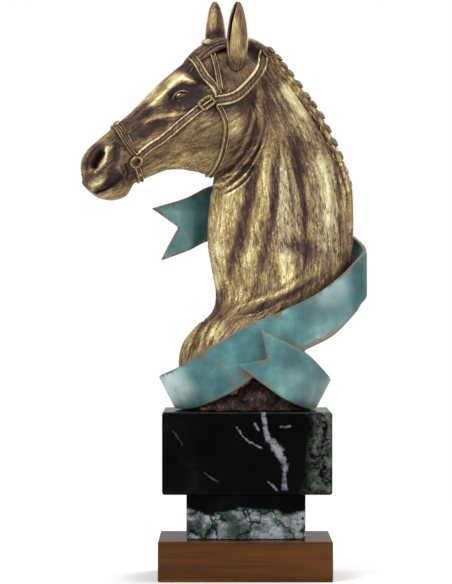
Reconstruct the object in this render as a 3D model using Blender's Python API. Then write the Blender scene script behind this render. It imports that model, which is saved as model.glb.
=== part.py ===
"""Horse-head trophy: a cast bust with a wound banner, on two marble blocks and a wooden foot.

Metres, +Z up. The origin is the middle of the wooden foot's underside. The horse looks along -X and turns
its face a little towards -Y. The free form of the bust is given in hundredths of its own height.
"""

import math

import bmesh
import bpy
import numpy as np
from mathutils import Vector
from mathutils.bvhtree import BVHTree

# Driving dimensions.
FOOT_WIDTH, FOOT_DEPTH, FOOT_HEIGHT = 0.110, 0.090, 0.0255
FOOT_BEVEL = 0.0010
NECK_BLOCK_WIDTH, NECK_BLOCK_DEPTH, NECK_BLOCK_HEIGHT = 0.0752, 0.060, 0.0285
NECK_BLOCK_BEVEL = 0.0008
NECK_BLOCK_OFFSET = 0.0004  # how far it was glued off the middle, towards +X
TOP_BLOCK_WIDTH, TOP_BLOCK_DEPTH, TOP_BLOCK_HEIGHT = 0.107, 0.086, 0.0520
TOP_BLOCK_BEVEL = 0.0016
TOP_BLOCK_OFFSET = 0.0011
BUST_HEIGHT = 0.2615
BANNER_THICKNESS = 0.0030
STRAP_WIDTH, STRAP_THICKNESS = 0.0048, 0.0019
SEAT_GAP = 0.0003  # glue line between two stacked pieces

BUST_TRIANGLES = 9200
HEAD_DETAIL, HEAD_HEIGHTS, HEAD_FACTOR = 0.9, (48.0, 56.0), 0.002
VOXEL = 0.0009
HEAD_TURN = math.radians(18)

UNIT = BUST_HEIGHT / 100
FOOT_FLOOR = 0.0
NECK_BLOCK_FLOOR = FOOT_FLOOR + FOOT_HEIGHT + SEAT_GAP
TOP_BLOCK_FLOOR = NECK_BLOCK_FLOOR + NECK_BLOCK_HEIGHT + SEAT_GAP
BUST_FLOOR = TOP_BLOCK_FLOOR + TOP_BLOCK_HEIGHT + SEAT_GAP


# Curves and meshes

def spline(points, count):
    """count points evenly spaced along a smooth curve through the given points, of any dimension."""
    points = np.array(points, float)
    before = 2 * points[0] - points[1]
    after = 2 * points[-1] - points[-2]
    knots = np.vstack([before, points, after])
    dense = []
    for i in range(1, len(knots) - 2):
        p0, p1, p2, p3 = knots[i - 1 : i + 3]
        for u in np.linspace(0, 1, 16, endpoint=False):
            dense.append(
                0.5 * (2 * p1 + (p2 - p0) * u + (2 * p0 - 5 * p1 + 4 * p2 - p3) * u * u
                       + (3 * p1 - p0 - 3 * p2 + p3) * u ** 3)
            )
    dense.append(points[-1])
    dense = np.array(dense)
    run = np.concatenate([[0], np.cumsum(np.linalg.norm(np.diff(dense, axis=0), axis=1))])
    where = np.linspace(0, run[-1], count)
    return np.stack([np.interp(where, run, column) for column in dense.T], axis=1)


def loft(rings):
    """Vertices and faces of a closed skin over rings of equal point counts, with a pole at each end."""
    rings = np.array(rings, float)
    count, around = rings.shape[:2]
    vertices = np.vstack([rings.reshape(-1, 3), rings[0].mean(0), rings[-1].mean(0)])
    first, last = count * around, count * around + 1
    faces = []
    for i in range(count - 1):
        for j in range(around):
            k = (j + 1) % around
            faces.append((i * around + j, i * around + k, (i + 1) * around + k, (i + 1) * around + j))
    for j in range(around):
        k = (j + 1) % around
        faces.append((first, k, j))
        faces.append((last, (count - 1) * around + j, (count - 1) * around + k))
    return vertices, faces


def shell_mesh(name, parts):
    """One mesh that holds several closed skins, each with its faces pointing out."""
    mesh = bpy.data.meshes.new(name)
    vertices, faces, start = [], [], 0
    for points, polygons in parts:
        vertices += [tuple(p) for p in points]
        faces += [tuple(start + i for i in polygon) for polygon in polygons]
        start += len(points)
    mesh.from_pydata(vertices, [], faces)
    work = bmesh.new()
    work.from_mesh(mesh)
    bmesh.ops.recalc_face_normals(work, faces=work.faces)
    work.to_mesh(mesh)
    work.free()
    return mesh


def evaluated(mesh, modifiers):
    """The mesh after these modifiers, given as (type, {setting: value})."""
    helper = bpy.data.objects.new("helper", mesh)
    bpy.context.scene.collection.objects.link(helper)
    for kind, settings in modifiers:
        modifier = helper.modifiers.new(kind.title(), kind)
        for setting, value in settings.items():
            setattr(modifier, setting, value)
    bpy.context.view_layer.update()
    graph = bpy.context.evaluated_depsgraph_get()
    result = bpy.data.meshes.new_from_object(helper.evaluated_get(graph))
    bpy.data.objects.remove(helper)
    return result


def fused(parts, voxel, relax=0):
    """Several overlapping closed skins melted into one, at a grid of this size."""
    steps = [("REMESH", {"mode": "VOXEL", "voxel_size": voxel, "adaptivity": 0.0})]
    if relax:
        steps.append(("SMOOTH", {"factor": 0.5, "iterations": relax}))
    return evaluated(shell_mesh("fused", parts), steps)


def points_of(mesh):
    points = np.empty(len(mesh.vertices) * 3, np.float32)
    mesh.vertices.foreach_get("co", points)
    return points.reshape(-1, 3).astype(float)


def normals_of(mesh):
    normals = np.empty(len(mesh.vertices) * 3, np.float32)
    mesh.vertices.foreach_get("normal", normals)
    return normals.reshape(-1, 3).astype(float)


def set_points(mesh, points):
    mesh.vertices.foreach_set("co", points.astype(np.float32).ravel())
    mesh.update()


def skin_of(mesh):
    return points_of(mesh), [tuple(polygon.vertices) for polygon in mesh.polygons]


def smoothstep(low, high, value):
    share = np.clip((value - low) / (high - low), 0, 1)
    return share * share * (3 - 2 * share)


# The horse's rough form, in hundredths of the bust's height

AROUND = 56
HEAD_START = np.array([-1.3, 78.9])
HEAD_ALONG = np.array([-0.872, -0.488])
HEAD_UP = np.array([-0.488, 0.872])
# Sections across the head, from behind the ears to the lips: place along the head's axis, underside, top
# line, and half widths low on the cheek, in the middle and near the top.
HEAD_SECTIONS = [
    (-7.5, -2.0, 3.6, 2.6, 3.6, 2.6),
    (-4.5, -5.0, 8.2, 5.0, 6.3, 4.6),
    (0.0, -8.0, 11.0, 6.6, 7.4, 5.2),
    (5.0, -12.5, 12.0, 7.0, 7.6, 5.8),
    (9.0, -15.2, 11.8, 6.4, 7.6, 6.7),
    (13.0, -16.3, 11.1, 5.6, 7.5, 7.6),
    (16.5, -15.8, 10.4, 5.2, 7.2, 7.0),
    (19.0, -13.2, 9.8, 5.0, 6.9, 6.0),
    (22.0, -10.8, 8.9, 4.6, 6.4, 5.2),
    (26.0, -8.9, 7.7, 4.0, 5.5, 4.3),
    (30.5, -8.3, 6.8, 3.4, 4.6, 3.7),
    (34.2, -7.9, 6.1, 3.4, 4.4, 3.5),
    (37.2, -9.6, 5.5, 3.6, 4.7, 3.7),
    (40.3, -9.2, 4.7, 3.7, 4.9, 3.6),
    (42.4, -7.9, 3.4, 3.3, 4.6, 3.1),
    (43.8, -6.2, 1.3, 2.5, 3.6, 2.2),
    (44.7, -4.4, -0.9, 1.2, 1.7, 1.1),
]
# Sections across the neck and chest, from the poll down: front point, back point, and half widths near the
# front, in the middle and near the back.
NECK_SECTIONS = [
    (-2.0, 78.0, 1.4, 89.0, 3.4, 4.2, 2.4),
    (-3.2, 73.2, 6.2, 86.8, 4.2, 5.0, 2.8),
    (-4.2, 68.6, 9.4, 82.9, 4.8, 5.6, 3.2),
    (-6.2, 61.2, 14.4, 76.8, 5.2, 6.6, 3.6),
    (-7.7, 56.0, 18.5, 70.2, 5.2, 7.0, 4.2),
    (-8.5, 51.4, 21.5, 64.3, 5.4, 7.4, 4.6),
    (-9.1, 45.3, 24.2, 56.6, 5.8, 7.9, 5.0),
    (-9.0, 39.7, 25.4, 49.0, 6.2, 8.5, 5.5),
    (-7.9, 33.1, 25.9, 41.6, 6.8, 9.2, 6.3),
    (-7.1, 27.2, 25.6, 34.8, 7.6, 10.0, 7.0),
    (-8.3, 23.4, 24.0, 28.9, 8.6, 10.5, 7.6),
    (-12.2, 20.0, 21.2, 24.0, 9.6, 11.0, 8.0),
    (-15.2, 16.0, 17.8, 19.6, 10.0, 11.2, 8.0),
    (-16.2, 10.8, 14.8, 14.6, 10.0, 11.0, 8.0),
    (-15.0, 6.1, 12.8, 9.0, 9.4, 10.4, 8.0),
    (-12.6, 2.4, 12.4, 3.0, 8.8, 9.8, 8.0),
    (-12.0, -3.0, 12.6, -3.0, 8.6, 9.6, 8.0),
]
# The rough ground under the bust: knobs of stone, each a centre, half axes and tilt in degrees.
GROUND = [
    ((1.2, 0, 0.5), (14.6, 11.0, 5.2), 0),
    ((2.5, -6.5, 2.6), (6.5, 5.0, 5.6), -18),
    ((-5.0, -6.0, 1.0), (7.5, 5.2, 3.4), 12),
    ((9.5, -5.0, 1.2), (5.6, 4.8, 4.2), 25),
    ((-9.0, 0, 0.5), (5.0, 8.5, 3.2), 8),
    ((11.0, 3.0, 0.8), (5.2, 6.0, 4.8), -14),
    ((0.5, 7.0, 1.4), (8.0, 4.6, 4.8), 10),
    ((-7.5, 6.5, 0.8), (5.4, 4.2, 3.6), -16),
    ((7.5, 8.0, 0.8), (4.8, 3.8, 3.6), 20),
]


def section_ring(low, high, widths, boxiness):
    """A closed ring from low to high in the plane of symmetry, bulging to the three half widths between."""
    low, high = np.array(low), np.array(high)
    reach = spline([(-1, widths[0] * 0.8), (-0.5, widths[0]), (0, widths[1]), (0.5, widths[2]),
                    (1, widths[2] * 0.8)], 41)
    ring = []
    for turn in np.linspace(0, 2 * math.pi, AROUND, endpoint=False):
        height = math.sin(turn)
        side = math.cos(turn)
        half = np.interp(height, reach[:, 0], reach[:, 1])
        across = half * math.copysign(abs(side) ** boxiness, side)
        x, z = (low + high) / 2 + (high - low) / 2 * height
        ring.append((x, across, z))
    return ring


def head_skin():
    rings = []
    for along, under, top, low, middle, high in spline(HEAD_SECTIONS, 90):
        start = HEAD_START + HEAD_ALONG * along
        rings.append(section_ring(start + HEAD_UP * under, start + HEAD_UP * top, (low, middle, high), 0.8))
    return loft(rings)


def neck_skin():
    rings = []
    for x0, z0, x1, z1, front, middle, back in spline(NECK_SECTIONS, 90):
        rings.append(section_ring((x0, z0), (x1, z1), (front, middle, back), 0.85))
    return loft(rings)


# Relief on both sides of the head, as seen from the side that the face turns to: where it runs, half its
# width, how far it stands out (or cuts in, if negative), and how sharp it is.
HEAD_RELIEF = [
    ("eye socket", [(-17.4, 76.2), (-15.2, 77.2), (-12.8, 77.4)], 3.7, -0.98, 0),
    ("brow above the eye", [(-19.1, 77.7), (-17.4, 79.6), (-15, 80.6), (-12.3, 79.9)], 1.7, 0.78, 0.2),
    ("hollow above the eye", [(-12.8, 82.3), (-10.8, 80.9)], 2.7, -0.88, 0),
    ("bone behind the eye", [(-13, 77.9), (-10.3, 78.4), (-7.9, 77.9)], 1.5, 0.44, 0),
    ("facial crest", [(-25.8, 69.6), (-23.3, 70.8), (-20.4, 71.5), (-16.9, 72), (-13, 73)], 1.2, 0.44, 0.3),
    ("hollow under the nose bone", [(-18.4, 75.5), (-21.8, 73.5), (-25.3, 70.6), (-28.2, 67.6)], 2.2, -0.64, 0),
    ("hollow under the facial crest", [(-26, 66.1), (-22.8, 68.4), (-18.4, 69.8)], 2.5, -0.54, 0),
    ("cheek", [(-9.8, 69.1), (-7.6, 66.1), (-7.4, 63.2)], 7.8, 0.74, 0),
    ("edge under the nose bone", [(-18.9, 77.9), (-23.3, 74.2), (-27.2, 71)], 1.2, 0.34, 0.2),
    ("groove of the jaw", [(-23.3, 61.2), (-18.9, 62.2), (-15, 61.7)], 1.7, -0.34, 0.1),
    ("rim of the jaw", [(-23.3, 58.5), (-19.6, 59.8), (-14.7, 59.3), (-10.3, 58.1)], 1.2, 0.34, 0.1),
    ("chin groove", [(-27.2, 57.3), (-28, 55.6)], 1.5, -0.3, 0),
    ("chin", [(-32.6, 53.2), (-30.9, 53.9)], 2.2, 0.39, 0),
    ("upper lip", [(-38, 55.4), (-36.3, 55.4)], 2.0, 0.37, 0),
    ("muzzle side", [(-34.1, 58.3), (-32.4, 59.8)], 2.0, 0.39, 0),
    ("hollow behind the nostril", [(-33.0, 58.0), (-31.8, 61.2), (-31.4, 64.7)], 1.5, -0.6, 0.1),
    ("nostril rim behind", [(-34.0, 64.0), (-33.9, 62.4), (-34.5, 60.1), (-36.6, 58.0)], 0.9, 0.5, 0.3),
    ("nostril rim before", [(-35.3, 63.9), (-37, 62.5), (-38, 60.3), (-37.8, 58.5)], 1.0, 0.39, 0.3),
    ("nostril", [(-35.3, 62.7), (-36.2, 61.2), (-37.1, 59.7)], 1.45, -2.1, 0.1),
    ("mouth", [(-36.6, 52.8), (-35.6, 53.3), (-34.1, 53.9), (-32.1, 55.2), (-30.2, 56.7)], 0.75, -1.3, 0.5),
    ("lip under the mouth", [(-35.0, 52.0), (-32.6, 53.2), (-30.4, 55.0)], 1.0, 0.3, 0.2),
    ("corner of the mouth", [(-29.2, 59.8), (-28.5, 58.3), (-28.7, 56.8)], 0.9, -0.39, 0.5),
    ("fold before the corner", [(-30.9, 59.3), (-30.2, 57.6)], 0.7, 0.25, 0.3),
    ("face vein", [(-25.8, 69.3), (-24.3, 70.6), (-21.4, 71.3), (-17.9, 71), (-15.5, 72)], 0.6, 0.25, 0.5),
    ("second face vein", [(-23.3, 70.8), (-20.9, 69.3), (-17.9, 68.4)], 0.6, 0.18, 0.5),
    ("fold under the eye", [(-17.7, 75.2), (-15.2, 74.5), (-12.8, 75.7)], 0.6, -0.29, 0.6),
    ("second fold under the eye", [(-17.9, 74), (-15.5, 73), (-13.3, 73.7)], 0.6, -0.22, 0.6),
    ("fold over the eye", [(-17.9, 78.6), (-16, 79.9), (-13.5, 79.4)], 0.6, -0.34, 0.7),
    ("back of the jaw", [(2.7, 73), (1.9, 67.6), (-0.5, 62.5), (-4, 58.8), (-6.9, 56.6)], 1.2, -0.98, 0.6),
    ("base of the ear", [(-4, 82.8), (-2, 81.8), (0, 83.3)], 2.0, 0.49, 0),
    ("gland behind the jaw", [(4.1, 71), (3.9, 66.1)], 1.7, 0.37, 0),
]
NECK_RELIEF = [
    ("throat fold one", [(-6.6, 54.6), (-4.2, 55.9), (-1.3, 58.8), (1.7, 62.5), (3.4, 66.1), (4.1, 69.8)], 0.7, 0.45,
     0.5),
    ("groove under fold one", [(-6.4, 53.9), (-3.7, 55.1), (-0.6, 58.0), (2.2, 61.8), (4.0, 65.9), (5.0, 71.0)], 0.6,
     -0.5, 0.6),
    ("throat fold two", [(-6.2, 53.2), (-3.2, 54.4), (0, 57.3), (2.7, 61.2), (4.6, 65.7), (5.6, 71.5)], 0.6, 0.4,
     0.5),
    ("groove under fold two", [(-5.9, 52.5), (-3.1, 53.6), (0.1, 56.3), (2.4, 59.7)], 0.6, -0.5, 0.6),
    ("throat fold three", [(-5.7, 51.9), (-3.0, 52.9), (0.2, 55.4), (2.2, 58.3)], 0.5, 0.3, 0.5),
    ("wind pipe", [(-1.6, 56.9), (-4.1, 50.7), (-6.3, 43.2), (-6.6, 33.8)], 2.6, 0.5, 0),
    ("groove of the throat", [(4.1, 63.7), (1.3, 53.8), (-0.3, 46.3), (-2.2, 39.4), (-4.1, 34.4), (-5.3, 27.5)], 1.6,
     -0.95, 0.2),
    ("first muscle", [(5.6, 66.1), (4.4, 56.9), (4.1, 49.4), (2.2, 43.2), (0.3, 36.3), (-2.2, 30.7)], 1.7, 0.6, 0),
    ("second groove", [(7.5, 62.0), (7.5, 56.9), (6.6, 47.9), (4.7, 40.0), (2.2, 33.5)], 1.3, -0.75, 0.2),
    ("second muscle", [(8.5, 63.7), (9.4, 56.9), (9.7, 49.5), (9.5, 41.6), (10.3, 34.3)], 2.4, 0.55, 0),
    ("third groove", [(12.5, 63.7), (13.1, 58.2), (14.4, 49.4), (14.7, 43.2), (14.0, 36.5)], 1.4, -0.6, 0.2),
    ("crest muscle", [(17.9, 63.7), (20.0, 52.5), (20.3, 43.2)], 2.4, 0.5, 0),
    ("fourth groove", [(20.8, 63.7), (23.1, 55.7), (23.7, 43.2), (24.1, 36.9)], 0.9, -0.5, 0.4),
    ("groove under the mane", [(8.5, 81.8), (13.5, 75.9), (17.4, 70.1), (20.3, 65.7), (22.6, 59.9), (24.3, 55.1),
                               (25.3, 49.0), (25.6, 43.8)], 0.7, -0.45, 0.5),
    ("shoulder edge", [(-3.1, 24.1), (0.3, 25.7), (5.9, 27.5), (10.3, 29.7), (12.8, 32.2), (14.1, 35.7)], 0.8, 0.5,
     0.6),
    ("hollow under the shoulder edge", [(-1.7, 22.5), (3.2, 24.7), (9.0, 26.9), (13.5, 29.4), (17.9, 32.8)], 1.5,
     -0.7, 0.1),
    ("second shoulder fold", [(-4.7, 21.6), (-1.6, 22.8), (2.8, 23.5), (11.0, 27.5)], 0.6, 0.35, 0.5),
    ("breast fold one", [(-9.8, 22.5), (-12.0, 18.4), (-13.5, 14.7), (-14.2, 11.0)], 0.9, -0.4, 0.4),
    ("breast fold two", [(-7.9, 22.0), (-9.6, 18.4), (-10.6, 14.7)], 0.9, -0.4, 0.4),
    ("breast fold three", [(-6.0, 21.6), (-7.6, 18.6), (-8.6, 15.9)], 0.7, -0.3, 0.5),
]
TURN_PIVOT = 2.0
NEAR = -1  # the side that the face turns to has negative y
# The outlines hold as seen from this place, level with the middle of the trophy.
VIEWPOINT = np.array([-4.7, -765.0, 28.7])


def turn_share(points):
    """How far each point follows the turn of the head: 0 on the neck, 1 from the cheek forwards."""
    across = points[:, [0, 2]] - HEAD_START
    along, up = across @ HEAD_ALONG, across @ HEAD_UP
    return smoothstep(-9, 6, along) * smoothstep(-24, -13, up)


def as_seen(points):
    """The points moved so that the viewpoint sees them where the side view has them."""
    points = np.array(points, float)
    closeness = (points[..., 1:2] - VIEWPOINT[1]) / -VIEWPOINT[1]
    moved = VIEWPOINT + (points - VIEWPOINT) * closeness
    moved[..., 1] = points[..., 1]
    return moved


def turned(points, share=None):
    """The points with the head turned, stretched so that its side view keeps its length."""
    points = np.array(points, float)
    share = turn_share(points) if share is None else np.full(len(points), share)
    angle = HEAD_TURN * share
    forward, side = points[:, 0] - TURN_PIVOT, points[:, 1]
    swung = np.stack([points[:, 0] - side * np.sin(angle),
                      forward * np.tan(angle) + side * np.cos(angle), points[:, 2]], axis=1)
    return swung + (as_seen(swung) - swung) * share[:, None]


class Skin:
    """A surface to lay things on, in the frame where the head looks straight ahead."""

    def __init__(self, mesh):
        points, faces = skin_of(mesh)
        self.tree = BVHTree.FromPolygons([Vector(p) for p in points], faces)

    def side(self, x, z):
        """The near side's surface at this place of the side view, with its normal, or None."""
        place, normal, _, _ = self.tree.ray_cast(Vector((x, NEAR * 60, z)), Vector((0, -NEAR, 0)))
        return None if place is None else (np.array(place), np.array(normal))

    def seen(self, x, z):
        """The near side's point that shows at this place once the head is turned."""
        own = x
        for _ in range(4):
            found = self.side(own, z)
            if found is None:
                own -= NEAR * 0.5
                continue
            angle = HEAD_TURN * turn_share(found[0][None])[0]
            own = x + found[0][1] * math.sin(angle)
        found = self.side(own, z)
        if found is None:
            found = (np.array([own, 0, z]), np.array([0, NEAR, 0]))
        return found

    def around(self, guides, core, count):
        """Points and normals of the surface where rays from the core segment through the guides leave it."""
        start, end = np.array(core, float)
        reach = end - start
        places, normals = [], []
        for guide in spline(guides, count):
            share = np.clip((guide - start) @ reach / (reach @ reach), 0, 1)
            inside = start + reach * share
            aim = Vector(guide - inside).normalized()
            place, normal, _, _ = self.tree.ray_cast(Vector(inside), aim)
            if place is None:
                continue
            places.append(np.array(place))
            normals.append(np.array(normal) * (1 if normal.dot(aim) > 0 else -1))
        return np.array(places), np.array(normals)


def distance_to_path(points, path):
    nearest = np.full(len(points), 1e9)
    for start, end in zip(path[:-1], path[1:]):
        reach = end - start
        share = np.clip((points - start) @ reach / max(reach @ reach, 1e-9), 0, 1)
        nearest = np.minimum(nearest, np.linalg.norm(points - start - share[:, None] * reach, axis=1))
    return nearest


def carve(points, normals, path, width, height, sharpness):
    """Raises (or cuts) the surface along a path, fading out at its sides."""
    box_low, box_high = path.min(0) - width, path.max(0) + width
    near = np.where(((points > box_low) & (points < box_high)).all(1))[0]
    if not len(near):
        return
    share = np.clip(1 - distance_to_path(points[near], path) / width, 0, 1)
    soft = share * share * (3 - 2 * share)
    shape = (1 - sharpness) * soft + sharpness * share ** 2
    points[near] += normals[near] * (height * shape)[:, None]


def sculpted(mesh, reliefs):
    """The mesh with each relief carved on both sides."""
    skin = Skin(mesh)
    points, normals = points_of(mesh), normals_of(mesh)
    for _, path, width, height, sharpness in reliefs:
        knots = spline(path, max(2, 5 * (len(path) - 1)))
        line = np.array([skin.seen(x, z)[0] for x, z in knots])
        for side in (1, -1):
            carve(points, normals, line * (1, side, 1), width, height, sharpness)
    set_points(mesh, points)
    return mesh


# Ears, eyes, bridle and mane

EAR_BASE, EAR_TIP = (-4.6, 4.6, 82.6), (-4.7, 6.0, 99.9)
EAR_LEAN = 1.0  # how far the near ear stands back and the far one forward
# The ear's shape on its way up: share of its height, half width, share of a full turn that its rim closes.
EAR_SECTIONS = [(0.0, 1.1, 0.98), (0.08, 1.7, 0.97), (0.2, 2.3, 0.95), (0.38, 2.75, 0.92), (0.55, 2.6, 0.89),
                (0.75, 2.0, 0.85), (0.9, 1.2, 0.80), (0.97, 0.7, 0.76), (1.0, 0.4, 0.75)]
EAR_WALL = 0.7
EYE = (-15.5, 77.0)
EYE_AXES = (1.95, 1.6, 1.35)
EYE_DEPTH = 0.95
EYE_TILT = math.radians(12)
# Each lid: places across and up from the middle of the eye, radius, and how far it stands out.
LIDS = [([(-2.3, -0.55), (-1.5, 0.5), (-0.3, 1.05), (1.1, 0.85), (2.4, -0.15)], 0.5, 1.75),
        ([(-2.3, -0.55), (-1.2, -0.95), (0.2, -1.1), (1.4, -0.8), (2.4, -0.15)], 0.4, 1.6)]


def ball(centre, axes, tilt=0.0, around=20, rings=12):
    """An ellipsoid with these half axes, tilted in the side view."""
    skin = []
    for lift in np.linspace(-math.pi / 2, math.pi / 2, rings + 2)[1:-1]:
        skin.append([(math.cos(lift) * math.cos(a), math.cos(lift) * math.sin(a), math.sin(lift))
                     for a in np.linspace(0, 2 * math.pi, around, endpoint=False)])
    vertices, faces = loft(skin)
    vertices[-2:] = [(0, 0, -1), (0, 0, 1)]
    vertices = vertices * np.array(axes)
    x, z = vertices[:, 0].copy(), vertices[:, 2].copy()
    vertices[:, 0] = x * math.cos(tilt) - z * math.sin(tilt)
    vertices[:, 2] = x * math.sin(tilt) + z * math.cos(tilt)
    return vertices + np.array(centre), faces


def frames_along(path, normals):
    """Tangents, sideways directions and cleaned normals along a path."""
    tangents = np.gradient(path, axis=0)
    tangents /= np.linalg.norm(tangents, axis=1)[:, None]
    for _ in range(6):
        padded = np.vstack([normals[:1], normals, normals[-1:]])
        normals = (padded[:-2] + 2 * padded[1:-1] + padded[2:]) / 4
    normals = normals - tangents * (normals * tangents).sum(1)[:, None]
    normals /= np.linalg.norm(normals, axis=1)[:, None]
    return tangents, np.cross(tangents, normals), normals


# A strap's section, from edge to edge: across in half widths, height in thicknesses. Its rims are raised.
STRAP_SECTION = [(-1.0, -0.8), (-1.0, 0.6), (-0.86, 1.0), (-0.66, 0.95), (-0.55, 0.68), (0.0, 0.62),
                 (0.55, 0.68), (0.66, 0.95), (0.86, 1.0), (1.0, 0.6), (1.0, -0.8)]


def strap(path, normals, width, thickness):
    _, sideways, up = frames_along(path, normals)
    rings = [[p + s * (a * width / 2) + n * (h * thickness) for a, h in STRAP_SECTION]
             for p, s, n in zip(path, sideways, up)]
    return loft(rings)


def tube(path, radii, around=10):
    """A round bar along a path, with its radius at each point."""
    path = np.array(path, float)
    tangents = np.gradient(path, axis=0)
    tangents /= np.linalg.norm(tangents, axis=1)[:, None]
    normal = np.cross(tangents[0], (0.13, 0.21, 0.97))
    rings = []
    for point, tangent, radius in zip(path, tangents, np.broadcast_to(radii, len(path))):
        normal = normal - tangent * (normal @ tangent)
        normal /= np.linalg.norm(normal)
        side = np.cross(tangent, normal)
        rings.append([point + radius * (math.cos(a) * normal + math.sin(a) * side)
                      for a in np.linspace(0, 2 * math.pi, around, endpoint=False)])
    return loft(rings)


def hoop(centre, normal, size, radius, corner=1.0, along=(1, 0, 0), count=28):
    """A closed bar around a centre: round, or nearly square with a small corner exponent."""
    normal = np.array(normal) / np.linalg.norm(normal)
    first = np.array(along, float) - normal * (np.array(along) @ normal)
    first /= np.linalg.norm(first)
    second = np.cross(normal, first)
    line = []
    for a in np.linspace(0, 2 * math.pi, count, endpoint=False):
        u = math.copysign(abs(math.cos(a)) ** corner, math.cos(a)) * size[0]
        v = math.copysign(abs(math.sin(a)) ** corner, math.sin(a)) * size[1]
        line.append(np.array(centre) + first * u + second * v)
    line = line + line[:2]
    return tube(line, radius)


def ear(side):
    """One ear: a leaf rolled around its hollow, which opens forwards and a little outwards."""
    lean = EAR_LEAN * (1 if side == NEAR else -1)
    base = np.array(EAR_BASE) * (1, side, 1) + (lean, 0, 0)
    tip = np.array(EAR_TIP) * (1, side, 1) + (lean, 0, 0)
    opening = math.atan2(side * 0.35, -1.0)
    rings = []
    for share, half, closed in spline(EAR_SECTIONS, 26):
        centre = base + (tip - base) * share
        wall = min(EAR_WALL, half * 0.55)
        sweep = math.pi * closed
        outer = [(half, a) for a in np.linspace(-sweep, sweep, 18)]
        inner = [(half - wall, a) for a in np.linspace(sweep, -sweep, 18)]
        rings.append([centre + np.array([r * math.cos(opening + math.pi + a),
                                         0.85 * r * math.sin(opening + math.pi + a), 0])
                      for r, a in outer + inner])
    return loft(rings)


def eyes(skin):
    """Eyeballs with their lids, one pair for each side of the head."""
    made = []
    surface, _ = skin.seen(*EYE)
    centre = surface + np.array([0, -NEAR * EYE_DEPTH, 0])
    thinning = 0.35 + 0.65 * np.sin(np.linspace(0, math.pi, 16)) ** 0.6
    for side in (1, -1):
        flip = np.array([1, side, 1])
        eyeball, faces = ball(centre, EYE_AXES, EYE_TILT)
        made.append((eyeball * flip, faces))
        for lid, radius, reach in LIDS:
            line = []
            for u, v in spline(lid, 16):
                x = u * math.cos(EYE_TILT) - v * math.sin(EYE_TILT)
                z = u * math.sin(EYE_TILT) + v * math.cos(EYE_TILT)
                bulge = math.sqrt(max(0.0, 1 - (u / 3.0) ** 2 - (v / 2.8) ** 2))
                line.append((centre + np.array([x, NEAR * reach * bulge, z])) * flip)
            made.append(tube(line, radius * thinning))
    return made


HEAD_CORE = ((0, 0, 75), (-37, 0, 59))
POLL_CORE = ((-4, 0, 78), (-7.5, 0, 66))
# Each strap: guides on the near side, where its far half mirrors it (or not), the core that its rays leave.
NOSEBAND_FRONT = [(-27.6, -5, 61.6), (-29.4, -5, 63.3), (-30.9, -4.8, 66.4), (-32.2, -3.4, 69.4), (-32.9, 0, 71.4)]
NOSEBAND_BACK = [(-27.2, -5, 61.8), (-28.5, -5, 63.6), (-29.7, -4.8, 66.4), (-30.9, -3.4, 69.4), (-31.7, 0, 71.3)]
CHEEKPIECE = [(-27.6, -5, 61.8), (-24.9, -6, 64.4), (-22.2, -6, 66.2), (-18.1, -6, 69.4), (-13.4, -6, 72.7),
              (-9.0, -6, 75.9)]
BROWBAND = [(-8.7, -7, 77.0), (-10.3, -6.5, 80.4), (-11.6, -5.6, 82.9), (-12.9, -3.5, 85.4), (-13.8, 0, 87.5)]
EAR_STRAP = [(-8.2, -7, 78.5), (-8.9, -5.8, 84.0), (-9.4, -3.6, 88.2), (-9.6, 0, 90.0)]
HEADPIECE = [(-9.4, -7, 75.3), (-4.9, -7, 76.2), (-0.5, -6, 78.6), (2.7, -5, 81.6), (4.4, -3, 84.8),
             (4.6, 0, 88)]
THROAT_STRAP = [(-8.7, -7, 74.5), (-7.1, -7, 70.6), (-6.8, -7, 66.1), (-7.2, -6, 61.7), (-8.4, -3.5, 57.6),
                (-9.2, 0, 55.5)]
CURB_STRAP = [(-27.6, -5, 59.6), (-26.9, -4.2, 57.9), (-26.0, -2.6, 56.4), (-25.6, 0, 55.6)]
BIT_RING = (-26.9, 60.8)
BIT_RING_RADIUS, RING_BAR = 1.35, 0.38
BUCKLE_SIZE, BUCKLE_BAR = (1.8, 1.1), 0.3
BUCKLE_PLACE = 0.86  # share of the cheekpiece's length
KNOB_AXES = (0.9, 0.8, 0.8)
BROW_KNOB = (-9.6, 1.2, 90.6)


def mirrored(guides):
    """Guides of a strap that meets its other half in the plane of symmetry."""
    return guides[:-1] + [guides[-1]] + [(x, -y, z) for x, y, z in guides[-2::-1]]


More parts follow.
